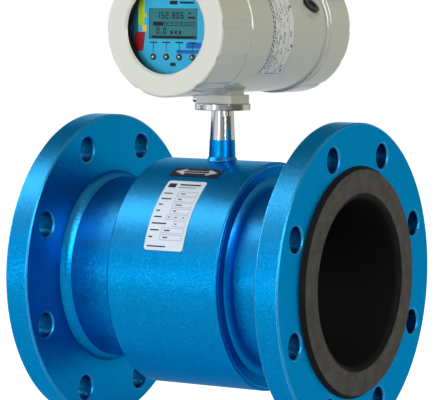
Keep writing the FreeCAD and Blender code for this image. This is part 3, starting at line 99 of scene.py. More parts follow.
class Shader:
    """A material or world node tree with short calls for the nodes used here."""

    SAMPLES = 6     # rays of the bevel and ambient occlusion nodes

    def __init__(self, owner):
        owner.use_nodes = True
        self.tree = owner.node_tree
        self.tree.nodes.clear()

    def node(self, kind, settings=None, **inputs):
        """A new node; an underscore in an input's name stands for a space."""
        item = self.tree.nodes.new(kind)
        for name, value in (settings or {}).items():
            setattr(item, name, value)
        for name, value in inputs.items():
            self.feed(item, name.replace("_", " "), value)
        return item

    def feed(self, item, name, value):
        """Links a socket to an input, or sets the input to a number or colour."""
        socket = item.inputs[int(name)] if name.isdigit() else item.inputs[name]
        if isinstance(value, bpy.types.NodeSocket):
            self.tree.links.new(value, socket)
        else:
            socket.default_value = value

    def math(self, operation, a, b=0.0):
        item = self.node("ShaderNodeMath", {"operation": operation})
        self.feed(item, "0", a)
        self.feed(item, "1", b)
        return item.outputs[0]

    def vector(self, operation, a, b=None, scale=None):
        item = self.node("ShaderNodeVectorMath", {"operation": operation})
        self.feed(item, "0", a)
        if b is not None:
            self.feed(item, "1", b)
        if scale is not None:
            item.inputs["Scale"].default_value = scale
        return item.outputs["Value" if operation in ("LENGTH", "DOT_PRODUCT") else "Vector"]

    def mix(self, factor, a, b):
        """Colour a where factor is 0, and b where it is 1."""
        item = self.node("ShaderNodeMix", {"data_type": "RGBA"})
        self.feed(item, "0", factor)
        self.feed(item, "6", a)
        self.feed(item, "7", b)
        return item.outputs[2]

    def ramp(self, value, low_in, high_in, low_out=0.0, high_out=1.0, smooth=False):
        """Maps low_in..high_in to low_out..high_out and holds the ends."""
        kind = "SMOOTHSTEP" if smooth else "LINEAR"
        item = self.node("ShaderNodeMapRange", {"interpolation_type": kind})
        for index, number in enumerate((value, low_in, high_in, low_out, high_out)):
            self.feed(item, str(index), number)
        return item.outputs[0]

    def place(self):
        return self.node("ShaderNodeTexCoord").outputs["Object"]

    def split(self, vector):
        """The three components of a vector."""
        return self.node("ShaderNodeSeparateXYZ", Vector=vector).outputs

    def noise(self, scale, detail=2.0, roughness=0.5, at=None):
        item = self.node("ShaderNodeTexNoise", Scale=scale, Detail=detail, Roughness=roughness,
                         Vector=at or self.place())
        return item.outputs["Fac"]

    def bump(self, height, strength, distance, normal=None):
        item = self.node("ShaderNodeBump", Height=height, Strength=strength, Distance=distance)
        if normal is not None:
            self.feed(item, "Normal", normal)
        return item.outputs["Normal"]

    def soft_edges(self, radius):
        """Normals that run around an edge as if it were rounded."""
        item = self.node("ShaderNodeBevel", {"samples": self.SAMPLES}, Radius=radius)
        return item.outputs["Normal"]

    def open_to_air(self, reach):
        """1 on an open face, falling to 0 deep in holes and corners."""
        item = self.node("ShaderNodeAmbientOcclusion", {"samples": self.SAMPLES},
                         Distance=reach)
        return item.outputs["AO"]

    def flakes(self, scale, tilt, normal):
        """Flat cells, each tilted its own way: their random colour and their normal."""
        cells = self.node("ShaderNodeTexVoronoi", Scale=scale, Vector=self.place())
        lean = self.vector("SUBTRACT", cells.outputs["Color"], (0.5, 0.5, 0.5))
        lean = self.vector("SCALE", lean, scale=tilt)
        tilted = self.vector("NORMALIZE", self.vector("ADD", normal, lean))
        return cells.outputs["Color"], tilted

    def join(self, kind, first, second, **inputs):
        """A Mix Shader or Add Shader node over two shaders."""
        item = self.node(kind, **inputs)
        start = len(item.inputs) - 2
        self.tree.links.new(first, item.inputs[start])
        self.tree.links.new(second, item.inputs[start + 1])
        return item.outputs[0]

    def principled(self, constants, **inputs):
        """Principled shader: constants go straight to its sockets, inputs may be links."""
        item = self.node("ShaderNodeBsdfPrincipled", **inputs)
        for name, value in constants.items():
            item.inputs[name].default_value = value
        return item.outputs[0]

    def surface(self, socket):
        out = self.node("ShaderNodeOutputMaterial")
        self.tree.links.new(socket, out.inputs["Surface"])


def material(name):
    """A new material and the shader that fills it."""
    found = bpy.data.materials.new(name)
    return found, Shader(found)


def rgb(red, green, blue):
    """Display colour, 0 to 255, as a linear colour."""
    def linear(channel):
        channel /= 255.0
        return channel / 12.92 if channel <= 0.04045 else ((channel + 0.055) / 1.055) ** 2.4
    return (linear(red), linear(green), linear(blue), 1.0)


def shade(colour, share):
    """The same colour, darker."""
    return tuple(channel * share for channel in colour[:3]) + (1.0,)


# --------------------------------------------------------------------------------------
# Materials
# --------------------------------------------------------------------------------------

# metallic blue paint
PAINT_DEEP = (0.0, 0.225, 0.57, 1.0)
PAINT_BRIGHT = (0.001, 0.28, 0.65, 1.0)
PAINT_UPWARD_SHEEN = (0.026, 0.28, 0.58, 1.0)           # painted sheen: paler where a face looks up, standing in for light reflected from above
PAINT_FLAKE = (0.04, 0.46, 0.82, 1.0)
PAINT_HOLLOW_SHADE = (0.0, 0.045, 0.13, 1.0)          # painted shade deep in holes and corners
PAINT_EDGE_HIGHLIGHT = (0.16, 0.60, 0.88, 1.0)            # painted highlight along edges
PAINT_TINT = (0.45, 0.80, 0.95, 1.0)
PAINT_EDGE_WIDTH = 0.0013
WELD_EDGE_WIDTH = 0.0006
SHADE_REACH = 0.026

# stem: steel above, a like paint below
STEM_PAINT = (0.0, 0.22, 0.56, 1.0)
STEM_PAINT_TINT = (0.62, 0.82, 0.95, 1.0)
STEM_STEEL = (0.62, 0.61, 0.60, 1.0)
STEM_PAINT_TOP = 0.1227                         # height of the line between the two
STEM_LINE_WAVE, STEM_LINE_BLUR = 0.0008, 0.0001

# lining, by the distance from the axis of the pipe
LINING_FACE = ((0.098, 0.094, 0.094, 1.0), (0.064, 0.061, 0.060, 1.0))
LINING_SCUFF = (0.13, 0.12, 0.11, 1.0)
LINING_DARK = (0.004, 0.004, 0.005, 1.0)
MOUTH_FROM, MOUTH_TO = 0.0795, 0.0808           # dark bore, pale face
RIM_FROM, RIM_TO = 0.1008, 0.1016               # pale face, dark outer edge

ENAMEL_EDGE_WIDTH = 0.0010
METAL_EDGE_WIDTH = 0.0003


def blue_paint(name, edge_width):
    """Metallic blue paint: tilted flakes, a fine grain, painted highlights on edges, a painted
    sheen where faces look up, and painted shade in holes and corners.
    """
    made, s = material(name)
    round_normal = s.soft_edges(edge_width)
    flake_colour, normal = s.flakes(scale=1050.0, tilt=0.09, normal=round_normal)
    grain = s.noise(scale=620.0, detail=3.0, roughness=0.6)
    plain = s.node("ShaderNodeNewGeometry").outputs["Normal"]
    # painted highlight: paler paint where the rounded edge normal turns away from the face
    edge_highlight = s.ramp(s.vector("DOT_PRODUCT", round_normal, plain), 0.993, 0.92, smooth=True)
    upward = s.split(plain)[2]
    # painted sheen: paler paint on faces that look up, fading again near the very top, in
    # place of light reflected from above
    painted_sheen = s.math("MULTIPLY", s.ramp(upward, 0.15, 0.6, smooth=True),
                  s.ramp(upward, 0.70, 0.92, 1.0, 0.25, smooth=True))
    flake = s.node("ShaderNodeSeparateColor", Color=flake_colour).outputs[0]
    colour = s.mix(s.ramp(grain, 0.35, 0.65), PAINT_DEEP, PAINT_BRIGHT)
    colour = s.mix(painted_sheen, colour, PAINT_UPWARD_SHEEN)
    colour = s.mix(s.ramp(flake, 0.80, 0.95, 0.0, 0.22), colour, PAINT_FLAKE)
    # painted shade: the paint turns dark navy where ambient occlusion finds holes and corners
    colour = s.mix(s.ramp(s.open_to_air(SHADE_REACH), 0.30, 0.78), PAINT_HOLLOW_SHADE, colour)
    colour = s.mix(edge_highlight, colour, PAINT_EDGE_HIGHLIGHT)
    s.surface(s.principled({"Metallic": 1.0, "Specular Tint": PAINT_TINT},
                           Base_Color=colour,
                           Normal=s.bump(grain, strength=0.16, distance=0.0003, normal=normal),
                           Roughness=s.ramp(grain, 0.3, 0.7, 0.30, 0.40)))
    return made


def enamel(name, colour):
    """Smooth light paint on a casting, with a faint orange peel."""
    made, s = material(name)
    peel = s.noise(scale=260.0)
    cloud = s.noise(scale=14.0, detail=3.0)
    s.surface(s.principled({"Coat Weight": 0.8, "Coat Roughness": 0.07},
                           Base_Color=s.mix(s.ramp(cloud, 0.3, 0.7), colour,
                                            shade(colour, 0.955)),
                           Normal=s.bump(peel, strength=0.08, distance=0.0003,
                                         normal=s.soft_edges(ENAMEL_EDGE_WIDTH)),
                           Roughness=s.ramp(peel, 0.3, 0.7, 0.32, 0.40)))
    return made


def metal(name, colour, roughness, lines, axis=2):
    """Turned or plain metal; lines is the strength of the turning marks along an axis."""
    made, s = material(name)
    along = s.node("ShaderNodeCombineXYZ", X=s.split(s.place())[axis])
    marks = s.noise(scale=4200.0, roughness=0.6, at=along.outputs[0])
    smudge = s.noise(scale=120.0, detail=3.0)
    s.surface(s.principled({"Metallic": 1.0},
                           Base_Color=s.mix(s.ramp(smudge, 0.3, 0.7), colour,
                                            shade(colour, 0.9)),
                           Normal=s.bump(marks, strength=lines, distance=0.00008,
                                         normal=s.soft_edges(METAL_EDGE_WIDTH)),
                           Roughness=s.ramp(smudge, 0.3, 0.7, roughness, roughness * 1.5)))
    return made


def plastic(name, colour, roughness=0.45, grain=600.0, depth=0.15, coat=0.0):
    """Moulded plastic or rubber with a fine grain."""
    made, s = material(name)
    fine = s.noise(scale=grain)
    broad = s.noise(scale=40.0)
    s.surface(s.principled({"Coat Weight": coat},
                           Base_Color=s.mix(s.ramp(broad, 0.3, 0.7), colour,
                                            shade(colour, 0.86)),
                           Normal=s.bump(fine, strength=depth, distance=0.0002),
                           Roughness=s.ramp(fine, 0.3, 0.7, roughness * 0.9,
                                            roughness * 1.1)))
    return made


def lining_rubber():
    """Hard rubber: a brown-grey face, darker in the bore and at the lip's outer edge."""
    made, s = material("lining_rubber")
    place = s.split(s.place())
    flat = s.node("ShaderNodeCombineXYZ", Y=place[1], Z=place[2])
    radius = s.vector("LENGTH", flat.outputs[0])
    mottle = s.noise(scale=70.0, detail=5.0, roughness=0.7)
    scuffs = s.noise(scale=420.0, detail=3.0, roughness=0.7)
    face = s.mix(s.ramp(mottle, 0.35, 0.65), *LINING_FACE)
    face = s.mix(s.ramp(scuffs, 0.52, 0.72, 0.0, 0.4), face, LINING_SCUFF)
    inner = s.ramp(radius, MOUTH_FROM, MOUTH_TO, smooth=True)
    outer = s.ramp(radius, RIM_FROM, RIM_TO, 1.0, 0.0, smooth=True)
    s.surface(s.principled({"Specular IOR Level": 0.15},
                           Base_Color=s.mix(s.math("MULTIPLY", inner, outer), LINING_DARK,
                                            face),
                           Normal=s.bump(scuffs, strength=0.35, distance=0.0005),
                           Roughness=s.ramp(mottle, 0.3, 0.7, 0.62, 0.8)))
    return made


def stem_finish():
    """Polished stainless above a painted foot, with a slightly wavy line between them."""
    made, s = material("stem_finish")
    height = s.split(s.place())[2]
    wave = s.math("SUBTRACT", s.noise(scale=180.0), 0.5)
    wavy_height = s.math("ADD", height, s.math("MULTIPLY", wave, STEM_LINE_WAVE))
    painted = s.ramp(wavy_height, STEM_PAINT_TOP - STEM_LINE_BLUR,
                     STEM_PAINT_TOP + STEM_LINE_BLUR, 1.0, 0.0)
    _, flaky = s.flakes(scale=900.0, tilt=0.10, normal=s.soft_edges(WELD_EDGE_WIDTH))
    paint = s.principled({"Base Color": STEM_PAINT, "Metallic": 1.0,
                          "Specular Tint": STEM_PAINT_TINT, "Roughness": 0.30}, Normal=flaky)
    rings = s.node("ShaderNodeCombineXYZ", X=height)
    marks = s.noise(scale=3500.0, roughness=0.6, at=rings.outputs[0])
    steel = s.principled({"Base Color": STEM_STEEL, "Metallic": 1.0, "Roughness": 0.10},
                         Normal=s.bump(marks, strength=0.12, distance=0.00006,
                                       normal=s.soft_edges(METAL_EDGE_WIDTH)))
    s.surface(s.join("ShaderNodeMixShader", steel, paint, Fac=painted))
    return made


def clear_glass():
    """Window glass that lets light and shadow rays straight through."""
    made, s = material("window_clear")
    glossy = s.node("ShaderNodeBsdfGlossy", Roughness=0.02)
    clear = s.node("ShaderNodeBsdfTransparent", Color=(0.97, 0.985, 0.98, 1.0))
    facing = s.node("ShaderNodeFresnel", IOR=1.12)
    s.surface(s.join("ShaderNodeMixShader", clear.outputs[0], glossy.outputs[0],
                     Fac=facing.outputs[0]))
    return made


def ink(name, colour, roughness=0.5, speckle=0.1):
    """Printed ink or film with a faint unevenness."""
    made, s = material(name)
    grain = s.noise(scale=900.0)
    tone = s.mix(s.ramp(grain, 0.3, 0.7, 0.0, speckle * 4.0), colour, shade(colour, 0.8))
    s.surface(s.principled({"Specular IOR Level": 0.2}, Base_Color=tone,
                           Roughness=s.ramp(grain, 0.3, 0.7, roughness * 0.9,
                                            roughness * 1.1)))
    return made


PAINT = blue_paint("blue_paint", PAINT_EDGE_WIDTH)
PAINT_WELD = blue_paint("blue_paint_weld", WELD_EDGE_WIDTH)
GREY = enamel("grey_enamel", (0.60, 0.615, 0.57, 1.0))
RUBBER = lining_rubber()
STEEL = metal("turned_steel", (0.60, 0.59, 0.58, 1.0), roughness=0.16, lines=0.2)
BRASS = metal("plated_brass", (0.62, 0.47, 0.22, 1.0), roughness=0.25, lines=0.1)
COPPER = metal("enamelled_copper", (0.50, 0.20, 0.08, 1.0), roughness=0.35, lines=0.6, axis=0)
IRON = metal("soft_iron", (0.22, 0.22, 0.23, 1.0), roughness=0.45, lines=0.1)
BLACK_RUBBER = plastic("black_rubber", (0.012, 0.012, 0.013, 1.0), roughness=0.6, grain=500.0)
BLACK = plastic("black_plastic", (0.010, 0.010, 0.011, 1.0), roughness=0.35, grain=700.0)
DARK = plastic("dark_plastic", (0.028, 0.030, 0.034, 1.0), grain=700.0)
BOARD = plastic("circuit_board", (0.010, 0.085, 0.040, 1.0), roughness=0.3, grain=300.0,
                depth=0.1, coat=0.3)
TERMINAL = plastic("terminal_plastic", (0.03, 0.16, 0.06, 1.0))
BUSH = plastic("bush_plastic", (0.70, 0.68, 0.62, 1.0), roughness=0.4)
GLASS = clear_glass()
FILM = ink("label_film", rgb(214, 226, 240), roughness=0.35)
INK = ink("black_ink", rgb(44, 48, 56))

BY_SLOT = {
    "painted_steel": PAINT, "lining_rubber": RUBBER, "stainless": STEEL,
    "copper_wire": COPPER, "soft_iron": IRON, "grey_enamel": GREY,
    "black_rubber": BLACK_RUBBER, "black_plastic": BLACK, "dark_plastic": DARK,
    "window_glass": GLASS, "circuit_board": BOARD, "brass": BRASS,
    "board_plastic": BUSH, "terminal_plastic": TERMINAL,
}


def dress(node, made):
    """Gives a CAD node one material in every slot."""
    mesh = NODES[node].data
    if not mesh.materials:
        mesh.materials.append(made)
    for index in range(len(mesh.materials)):
        mesh.materials[index] = made


for entry in frame["record"]["subparts"]:
    if entry["material_slot"] in BY_SLOT:
        dress(entry["node"], BY_SLOT[entry["material_slot"]])
for weld in ("inlet_flange_weld", "outlet_flange_weld", "inlet_housing_weld",
             "outlet_housing_weld", "stem_weld"):
    dress(weld, PAINT_WELD)
dress("stem", stem_finish())


# --------------------------------------------------------------------------------------
# Mesh helpers
# --------------------------------------------------------------------------------------

LEVEL = 1e-9            # two heights of an outline closer than this are one


def add(name, points, faces, made, body, smooth=False):
    """A new piece from points in metres, riding on a body."""
    mesh = bpy.data.meshes.new(name)
    mesh.from_pydata(points, [], faces)
    mesh.validate()
    mesh.materials.append(made)
    if smooth:
        mesh.shade_smooth()
    piece = bpy.data.objects.new(name, mesh)
    bpy.context.scene.collection.objects.link(piece)
    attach(piece, body)
    return piece


def outline_span(outline, y, reach, near):
    """Lowest and highest x of a convex outline at a height, where a sloped edge still counts
    within reach of its ends and a level edge when it is near."""
    xs = []
    for (x0, y0), (x1, y1) in zip(outline, outline[1:] + outline[:1]):
        if abs(y0 - y1) < LEVEL:
            if abs(y - y0) < near:
                xs += [x0, x1]
        elif min(y0, y1) - reach <= y <= max(y0, y1) + reach:
            xs.append(x0 + (x1 - x0) * (y - y0) / (y1 - y0))
    return min(xs), max(xs)


def flat_shape(mapper, outline, lift, step, points, faces):
    """Adds one filled convex outline, cut into strips so that it can bend."""
    inset = 1e-7        # keeps the end strips off the outline's level edges
    ys = [y for _, y in outline]
    bottom, top = min(ys), max(ys)
    rows = max(1, int(math.ceil((top - bottom) / step)))
    for row in range(rows + 1):
        y = bottom + (top - bottom) * row / rows
        inner = min(max(y, bottom + inset), top - inset)
        here = len(points)
        points += [mapper(x, y, lift) for x in outline_span(outline, inner, LEVEL, LEVEL)]
        if row:
            faces.append((here - 2, here - 1, here + 1, here))


def decal(name, mapper, outlines, made, body, lift, step=2.0):
    """One printed layer made of several convex outlines, all in millimetres."""
    points, faces = [], []
    for outline in outlines:
        flat_shape(mapper, outline, lift, step, points, faces)
    add(name, points, faces, made, body)


def bar(x0, y0, x1, y1):
    """Rectangle between two corners."""
    return [(x0, y0), (x1, y0), (x1, y1), (x0, y1)]


def middle_bar(x0, x1, y, half):
    """A bar around a height."""
    return bar(x0, y - half, x1, y + half)


def frame_bars(x0, y0, x1, y1, width):
    """Four thin bars around a rectangle."""
    return [bar(x0, y0, x1, y0 + width), bar(x0, y1 - width, x1, y1),
            bar(x0, y0 + width, x0 + width, y1 - width),
            bar(x1 - width, y0 + width, x1, y1 - width)]


def rounded(half_x, half_y, radius):
    """Rectangle around 0, 0 with rounded corners."""
    steps = 5
    corners = []
    for side_x, side_y, start in ((1, 1, 0), (-1, 1, 90), (-1, -1, 180), (1, -1, 270)):
        cx, cy = side_x * (half_x - radius), side_y * (half_y - radius)
        for k in range(steps + 1):
            angle = math.radians(start + 90 * k / steps)
            corners.append((cx + radius * math.cos(angle), cy + radius * math.sin(angle)))
    return corners


def drum_map(centre_deg):
    """Print on the coil housing: x along the pipe, y up around it from a centre angle."""
    def place(x, y, lift):
        angle = math.radians(centre_deg) + y * MM / DRUM_R
        r = DRUM_R + lift * MM
        return (x * MM, -r * math.cos(angle), r * math.sin(angle))
    return place


def body_map(centre_deg, middle):
    """Print around the converter: x along its axis to the back, y up around it."""
    def place(x, y, lift):
        angle = math.radians(centre_deg) + y * MM / BODY_R
        r = BODY_R + lift * MM
        return (r * math.cos(angle), (x + middle) * MM, AXIS_Z + r * math.sin(angle))
    return place


def front_map(level):
    """Print on a plane that faces the display side, centred on the converter axis."""
    def place(x, y, lift):
        return (x * MM, level - lift * MM, AXIS_Z + y * MM)
    return place


def plate(name, mapper, outline, made, node):
    """Thin bent plate with a real edge that stands for a CAD plate."""
    step, closest = 1.5, 0.02       # rows of facets, and the least height of one
    reach, near = 1e-6, 0.03
    ys = [y for _, y in outline]
    bottom, top = min(ys), max(ys)
    rows = int((top - bottom) / step) + 1
    levels = sorted({bottom + (top - bottom) * k / rows for k in range(rows + 1)} | set(ys))
    kept = levels[:1]
    for y in levels[1:]:
        if y - kept[-1] > closest:
            kept.append(y)
    spans = [outline_span(outline, y, reach, near) for y in kept]
    points, faces = [], []
    for lift in (0.0, PLATE_T):
        for y, ends in zip(kept, spans):
            points += [mapper(x, y, lift) for x in ends]
    upper = 2 * len(kept)
    last = upper - 2
    for a in range(0, last, 2):
        faces.append((upper + a, upper + a + 1, upper + a + 3, upper + a + 2))
        faces.append((a + 1, a, a + 2, a + 3))
        faces.append((a, upper + a, upper + a + 2, a + 2))
        faces.append((upper + a + 1, a + 1, a + 3, upper + a + 3))
    faces.append((0, 1, upper + 1, upper))
    faces.append((last + 1, last, upper + last, upper + last + 1))
    piece = add(name, points, faces, made, "meter")
    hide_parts(node)


# --------------------------------------------------------------------------------------
# Plates and labels, laid out in millimetres from the middle of each plate
# --------------------------------------------------------------------------------------

PLATE_T = 0.38                  # thickness of the three plates
PRINT_LIFT = PLATE_T + 0.05     # print stands clear of its plate
DRUM_MM = 104.3                 # radius that the plates on the coil housing bend around


def drum_arc(degrees):
    """Length of an arc on the coil housing."""
    return degrees * math.pi / 180 * DRUM_MM


def nameplate():
    """Pale film with plain fields: no words, only bars where print would be."""
    low_edge, height_deg = 15.5, 41.0           # angles up from the horizontal
    half_w, half_h = 20.2, drum_arc(height_deg) / 2
    left, right = -17.5, 17.5                   # margins of the print
    thin, field, line = 0.6, 2.6, 0.35          # half heights of print and box, frame width
    place = drum_map(low_edge + height_deg / 2)
    plate("nameplate_film", place, rounded(half_w, half_h, 3.0), FILM, "nameplate")
    top = half_h
    marks = [bar(left, top - 9.5, -9.5, top - 4.0),
             bar(-6.0, top - 6.4, 15.5, top - 4.4),
             bar(-6.0, top - 9.4, 12.0, top - 8.6)]
    # left column: how far down a caption is, and how long
    for down, width in ((17.0, 9.0), (23.5, 10.5), (30.0, 4.0), (36.5, 4.0), (43.0, 8.0),
                        (49.5, 15.0), (56.0, 9.0), (62.5, 4.0)):
        marks.append(middle_bar(left, left + width, top - down, 0.7))
    boxes = []
    # boxes that reach the right margin, each with an entry of a random length
    for down, start in ((17.0, -3.0), (23.5, -3.0), (30.0, -3.0), (36.5, -3.0),
                        (56.0, -6.0), (62.5, -6.0)):
        y = top - down
        boxes += frame_bars(start, y - field, right, y + field, line)
        entry = start + 3.0
        marks.append(middle_bar(entry, entry + rng.uniform(3.0, 9.0), y, thin))
    # short boxes with a short entry
    for down, start, end in ((43.0, -5.0, 0.6), (43.0, 2.6, 8.4), (43.0, 10.4, right),
                             (49.5, 4.5, right)):
        y = top - down
        boxes += frame_bars(start, y - field, end, y + field, line)
        marks.append(middle_bar(start + 1.8, start + 3.8, y, thin))
    marks.append(bar(left, -half_h + 3.0, 2.0, -half_h + 4.2))
    decal("nameplate_print", place, marks, INK, "meter", PRINT_LIFT)
    faint = ink("grey_ink", rgb(120, 130, 146))
    decal("nameplate_fields", place, boxes, faint, "meter", PRINT_LIFT)


def flow_arrow():
    """Dark plate with a silver arrow that points both ways."""
    low_edge, height_deg = 60.6, 8.6            # angles up from the horizontal
    half_l, half_h = 25.5, drum_arc(height_deg) / 2
    shaft, head, tip, neck = 2.3, 5.6, 22.5, 11.5
    place = drum_map(low_edge + height_deg / 2)
    black = ink("arrow_black", rgb(30, 33, 42), roughness=0.3)
    silver = ink("arrow_silver", rgb(196, 198, 208), roughness=0.35)
    plate("arrow_plate", place, rounded(half_l, half_h, 1.0), black, "flow_arrow_plate")
    parts = [middle_bar(-14.0, 14.0, 0.0, shaft),
             [(-tip, 0.0), (-neck, -head), (-neck, head)],
             [(tip, 0.0), (neck, head), (neck, -head)]]
    decal("arrow_silver", place, parts, silver, "meter", PRINT_LIFT)
    core = [middle_bar(-13.0, 13.0, 0.0, shaft - 1.0)]
    decal("arrow_core", place, core, black, "meter", PRINT_LIFT + 0.05)


def rating_label():
    """Silver film around the converter's side, printed with bars that run around it."""
    lo, hi = low("rating_label"), high("rating_label")
    half_l = (hi.y - lo.y) / 2 / MM
    bottom = math.asin((lo.z - AXIS_Z) / LABEL_R)
    top = math.asin((hi.z - AXIS_Z) / LABEL_R)
    half_h = (top - bottom) * BODY_R / 2 / MM
    margin = 4.0
    place = body_map(math.degrees(bottom + top) / 2, lo.y / MM + half_l)
    silver = ink("label_silver", (0.90, 0.93, 0.95, 1.0), roughness=0.35)
    plate("rating_film", place, rounded(half_l, half_h, 2.0), silver, "rating_label")
    marks = []
    # columns of print: middle, width, and the share of it that is printed
    for x, width, share in ((-17.6, 1.5, 0.9), (-14.8, 1.5, 0.9), (-11.6, 0.8, 0.6),
                            (-9.4, 0.8, 0.6), (-5.4, 0.8, 0.6), (-3.2, 0.8, 0.3),
                            (1.0, 0.8, 0.5), (3.2, 0.8, 0.3), (7.4, 0.8, 0.35),
                            (13.6, 1.6, 0.25)):
        y = -half_h + margin
        while y < half_h - margin:
            length = min(rng.uniform(1.4, 5.0), half_h - margin - y)
            if rng.random() < share:
                marks.append(bar(x - width / 2, y, x + width / 2, y + length))
            y += length + rng.uniform(0.6, 1.0)
    for y in (-half_h + 5.0, -half_h + 30.0, half_h - 26.0):
        marks.append(bar(16.0, y, 18.6, y + 2.6))
    decal("rating_print", place, marks, INK, "meter", PRINT_LIFT)
    lines = frame_bars(-6.8, -half_h + 3.0, 10.2, half_h - 3.0, 0.35)
    lines += frame_bars(-half_l + 0.7, -half_h + 2.0, half_l - 0.7, half_h - 2.0, 0.4)
    decal("rating_fields", place, lines, INK, "meter", PRINT_LIFT)


nameplate()
flow_arrow()
rating_label()


# --------------------------------------------------------------------------------------
# Display, laid out in millimetres from the axis of the converter
# --------------------------------------------------------------------------------------

FASCIA_R = 43.6         # the printed blocks end just inside the fascia's edge
ONE_STRIP = 50.0        # step that leaves a flat print in one piece
KEYS = 4
KEY_PITCH = 13.6
SEGMENTS = {"0": "abcdef", "1": "bc", "2": "abged", "3": "abgcd", "4": "fgbc", "5": "afgcd",
            "6": "afgedc", "7": "abc", "8": "abcdefg", "9": "abcdfg"}


def digit(char, x, y, w, h, t):
    """Seven segments of one digit with its lower left corner at x, y."""
    mid = y + h / 2
    shapes = {
        "a": bar(x, y + h - t, x + w, y + h), "d": bar(x, y, x + w, y + t),
        "g": bar(x, mid - t / 2, x + w, mid + t / 2),
        "f": bar(x, mid, x + t, y + h), "e": bar(x, y, x + t, mid),
        "b": bar(x + w - t, mid, x + w, y + h), "c": bar(x + w - t, y, x + w, mid),
    }
    return [shapes[key] for key in SEGMENTS[char]]


def reading(text, x, y, h):
    """A row of digits of one height; a point takes a narrow space."""
    width, stroke, gap = 3.1, 0.95, 1.35
    point = stroke * 1.2
    shapes = []
    for char in text:
        if char == ".":
            shapes.append(bar(x, y, x + point, y + point))
            x += point + gap
        else:
            shapes += digit(char, x, y, width, h, stroke)
            x += width + gap
    return shapes


def row_of_bars(count, x, pitch, width, y0, y1):
    """Like bars side by side."""
    return [bar(x + pitch * k, y0, x + width + pitch * k, y1) for k in range(count)]


def block(x0, x1, y0, y1, lean=0.0):
    """Leaning bar between two heights, cut off by the fascia's round edge."""
    steps = 10
    left, right = [], []
    for k in range(steps + 1):
        y = y0 + (y1 - y0) * k / steps
        shift = lean * (y - y0)
        chord = math.sqrt(max(FASCIA_R * FASCIA_R - y * y, 0.0))
        left.append((max(x0 + shift, -chord), y))
        right.append((min(x1 + shift, chord), y))
    return left + right[::-1]


def fascia_layer(name, shapes, colour, lift):
    """Blocks of one colour on the fascia."""
    place = front_map(FASCIA_Y)
    points, faces = [], []
    for shape in shapes:
        first, last = len(points), len(points) + len(shape) - 1
        points += [place(x, y, lift) for x, y in shape]
        for k in range(len(shape) // 2 - 1):
            faces.append((first + k, first + k + 1, last - 1 - k, last - k))
    made = ink(name + "_ink", colour, roughness=0.4, speckle=0.03)
    add(name, points, faces, made, "meter")


def display():
    """Printed fascia in plain blocks of colour, and the reading behind its opening."""
    ground = ink("fascia_ground", rgb(50, 178, 226), roughness=0.4, speckle=0.03)
    dress("display_fascia", ground)
    under, over, marks_lift = 0.03, 0.05, 0.06
    fascia_layer("fascia_teal", [block(-44, -36.5, -30, 40)], rgb(16, 104, 140), under)
    fascia_layer("fascia_lime", [block(-36.5, -30.0, 3, 34)], rgb(176, 208, 40), under)
    fascia_layer("fascia_yellow", [block(-32.0, -27.6, -3, 3), block(-30.0, -27.6, 10, 13)],
                 rgb(246, 196, 40), over)
    fascia_layer("fascia_red", [block(-41.5, -31.0, -20, -3, 0.12)], rgb(150, 18, 26), over)
    fascia_layer("fascia_blue", [block(4, 44, -21.5, -18.5), block(14, 44, -17.0, -12.0)],
                 rgb(10, 96, 190), over)

    screen = front_map(LCD_Y)
    dark = ink("lcd_ink", rgb(4, 18, 22), roughness=0.4)
    dress("lcd_module", ink("lcd_glass", rgb(46, 120, 130), roughness=0.15, speckle=0.02))
    shapes = reading("152.806", -17.0, 9.0, 6.0)
    shapes += [bar(15.5, 13.2, 18.5, 14.6), bar(15.5, 9.2, 22.5, 11.0)]
    shapes += [bar(-21.0, 2.6, -10.0, 6.2)]
    shapes += frame_bars(-9.2, 2.6, 22.5, 6.2, 0.6)
    shapes += row_of_bars(6, -7.4, 4.9, 2.6, 4.0, 4.8)
    shapes += reading("0.0", -17.5, -4.6, 5.6)
    shapes += row_of_bars(3, -3.0, 4.4, 2.6, -4.6, -1.6)
    shapes += [bar(-22.5, -8.6, 23.6, -6.2)]
    decal("lcd_reading", screen, shapes, dark, "meter", 0.03, ONE_STRIP)
    rim = frame_bars(-25.2, -9.0, 25.2, 18.2, 0.8)
    decal("lcd_rim", screen, rim, DARK, "meter", 0.04, ONE_STRIP)

    marks = []
    for k in range(KEYS):                       # a caption and a leader over each key
        x = (k - (KEYS - 1) / 2) * KEY_PITCH
        marks.append(bar(x - 4.2, -12.6, x + 4.2, -11.5))
        marks.append(bar(x - 0.3, -20.6, x + 0.3, -12.6))
    marks.append(bar(-2.6, -32.8, 3.2, -30.0))
    marks.append(bar(-3.6, 21.6, 4.6, 24.8))
    marks.append(bar(7.0, 22.4, 22.0, 24.2))
    decal("fascia_marks", front_map(FASCIA_Y), marks, dark, "meter", marks_lift,
          ONE_STRIP)


def key_mark(node, turn, made):
    """White triangle on a key, turned its own way, which rides on the key."""
    centre = (low(node) + high(node)) / 2
    cx, cy = centre.x / MM, (centre.z - AXIS_Z) / MM
    cos, sin = math.cos(math.radians(turn)), math.sin(math.radians(turn))
    triangle = [(cx + x * cos - y * sin, cy + x * sin + y * cos)
                for x, y in ((-1.1, -0.9), (1.1, -0.9), (0.0, 1.2))]
    decal(f"{node}_mark", front_map(low(node).y), [triangle], made, node, 0.03,
          0.3)


display()
KEY = plastic("key_black", (0.010, 0.010, 0.012, 1.0), roughness=0.25, grain=500.0,
              depth=0.05, coat=0.4)
WHITE = ink("white_ink", rgb(226, 232, 236), roughness=0.4)
for number in range(KEYS):
    dress(f"key_{number + 1}", KEY)
    key_mark(f"key_{number + 1}", 90 * number, WHITE)


# --------------------------------------------------------------------------------------
# Weld beads
# --------------------------------------------------------------------------------------


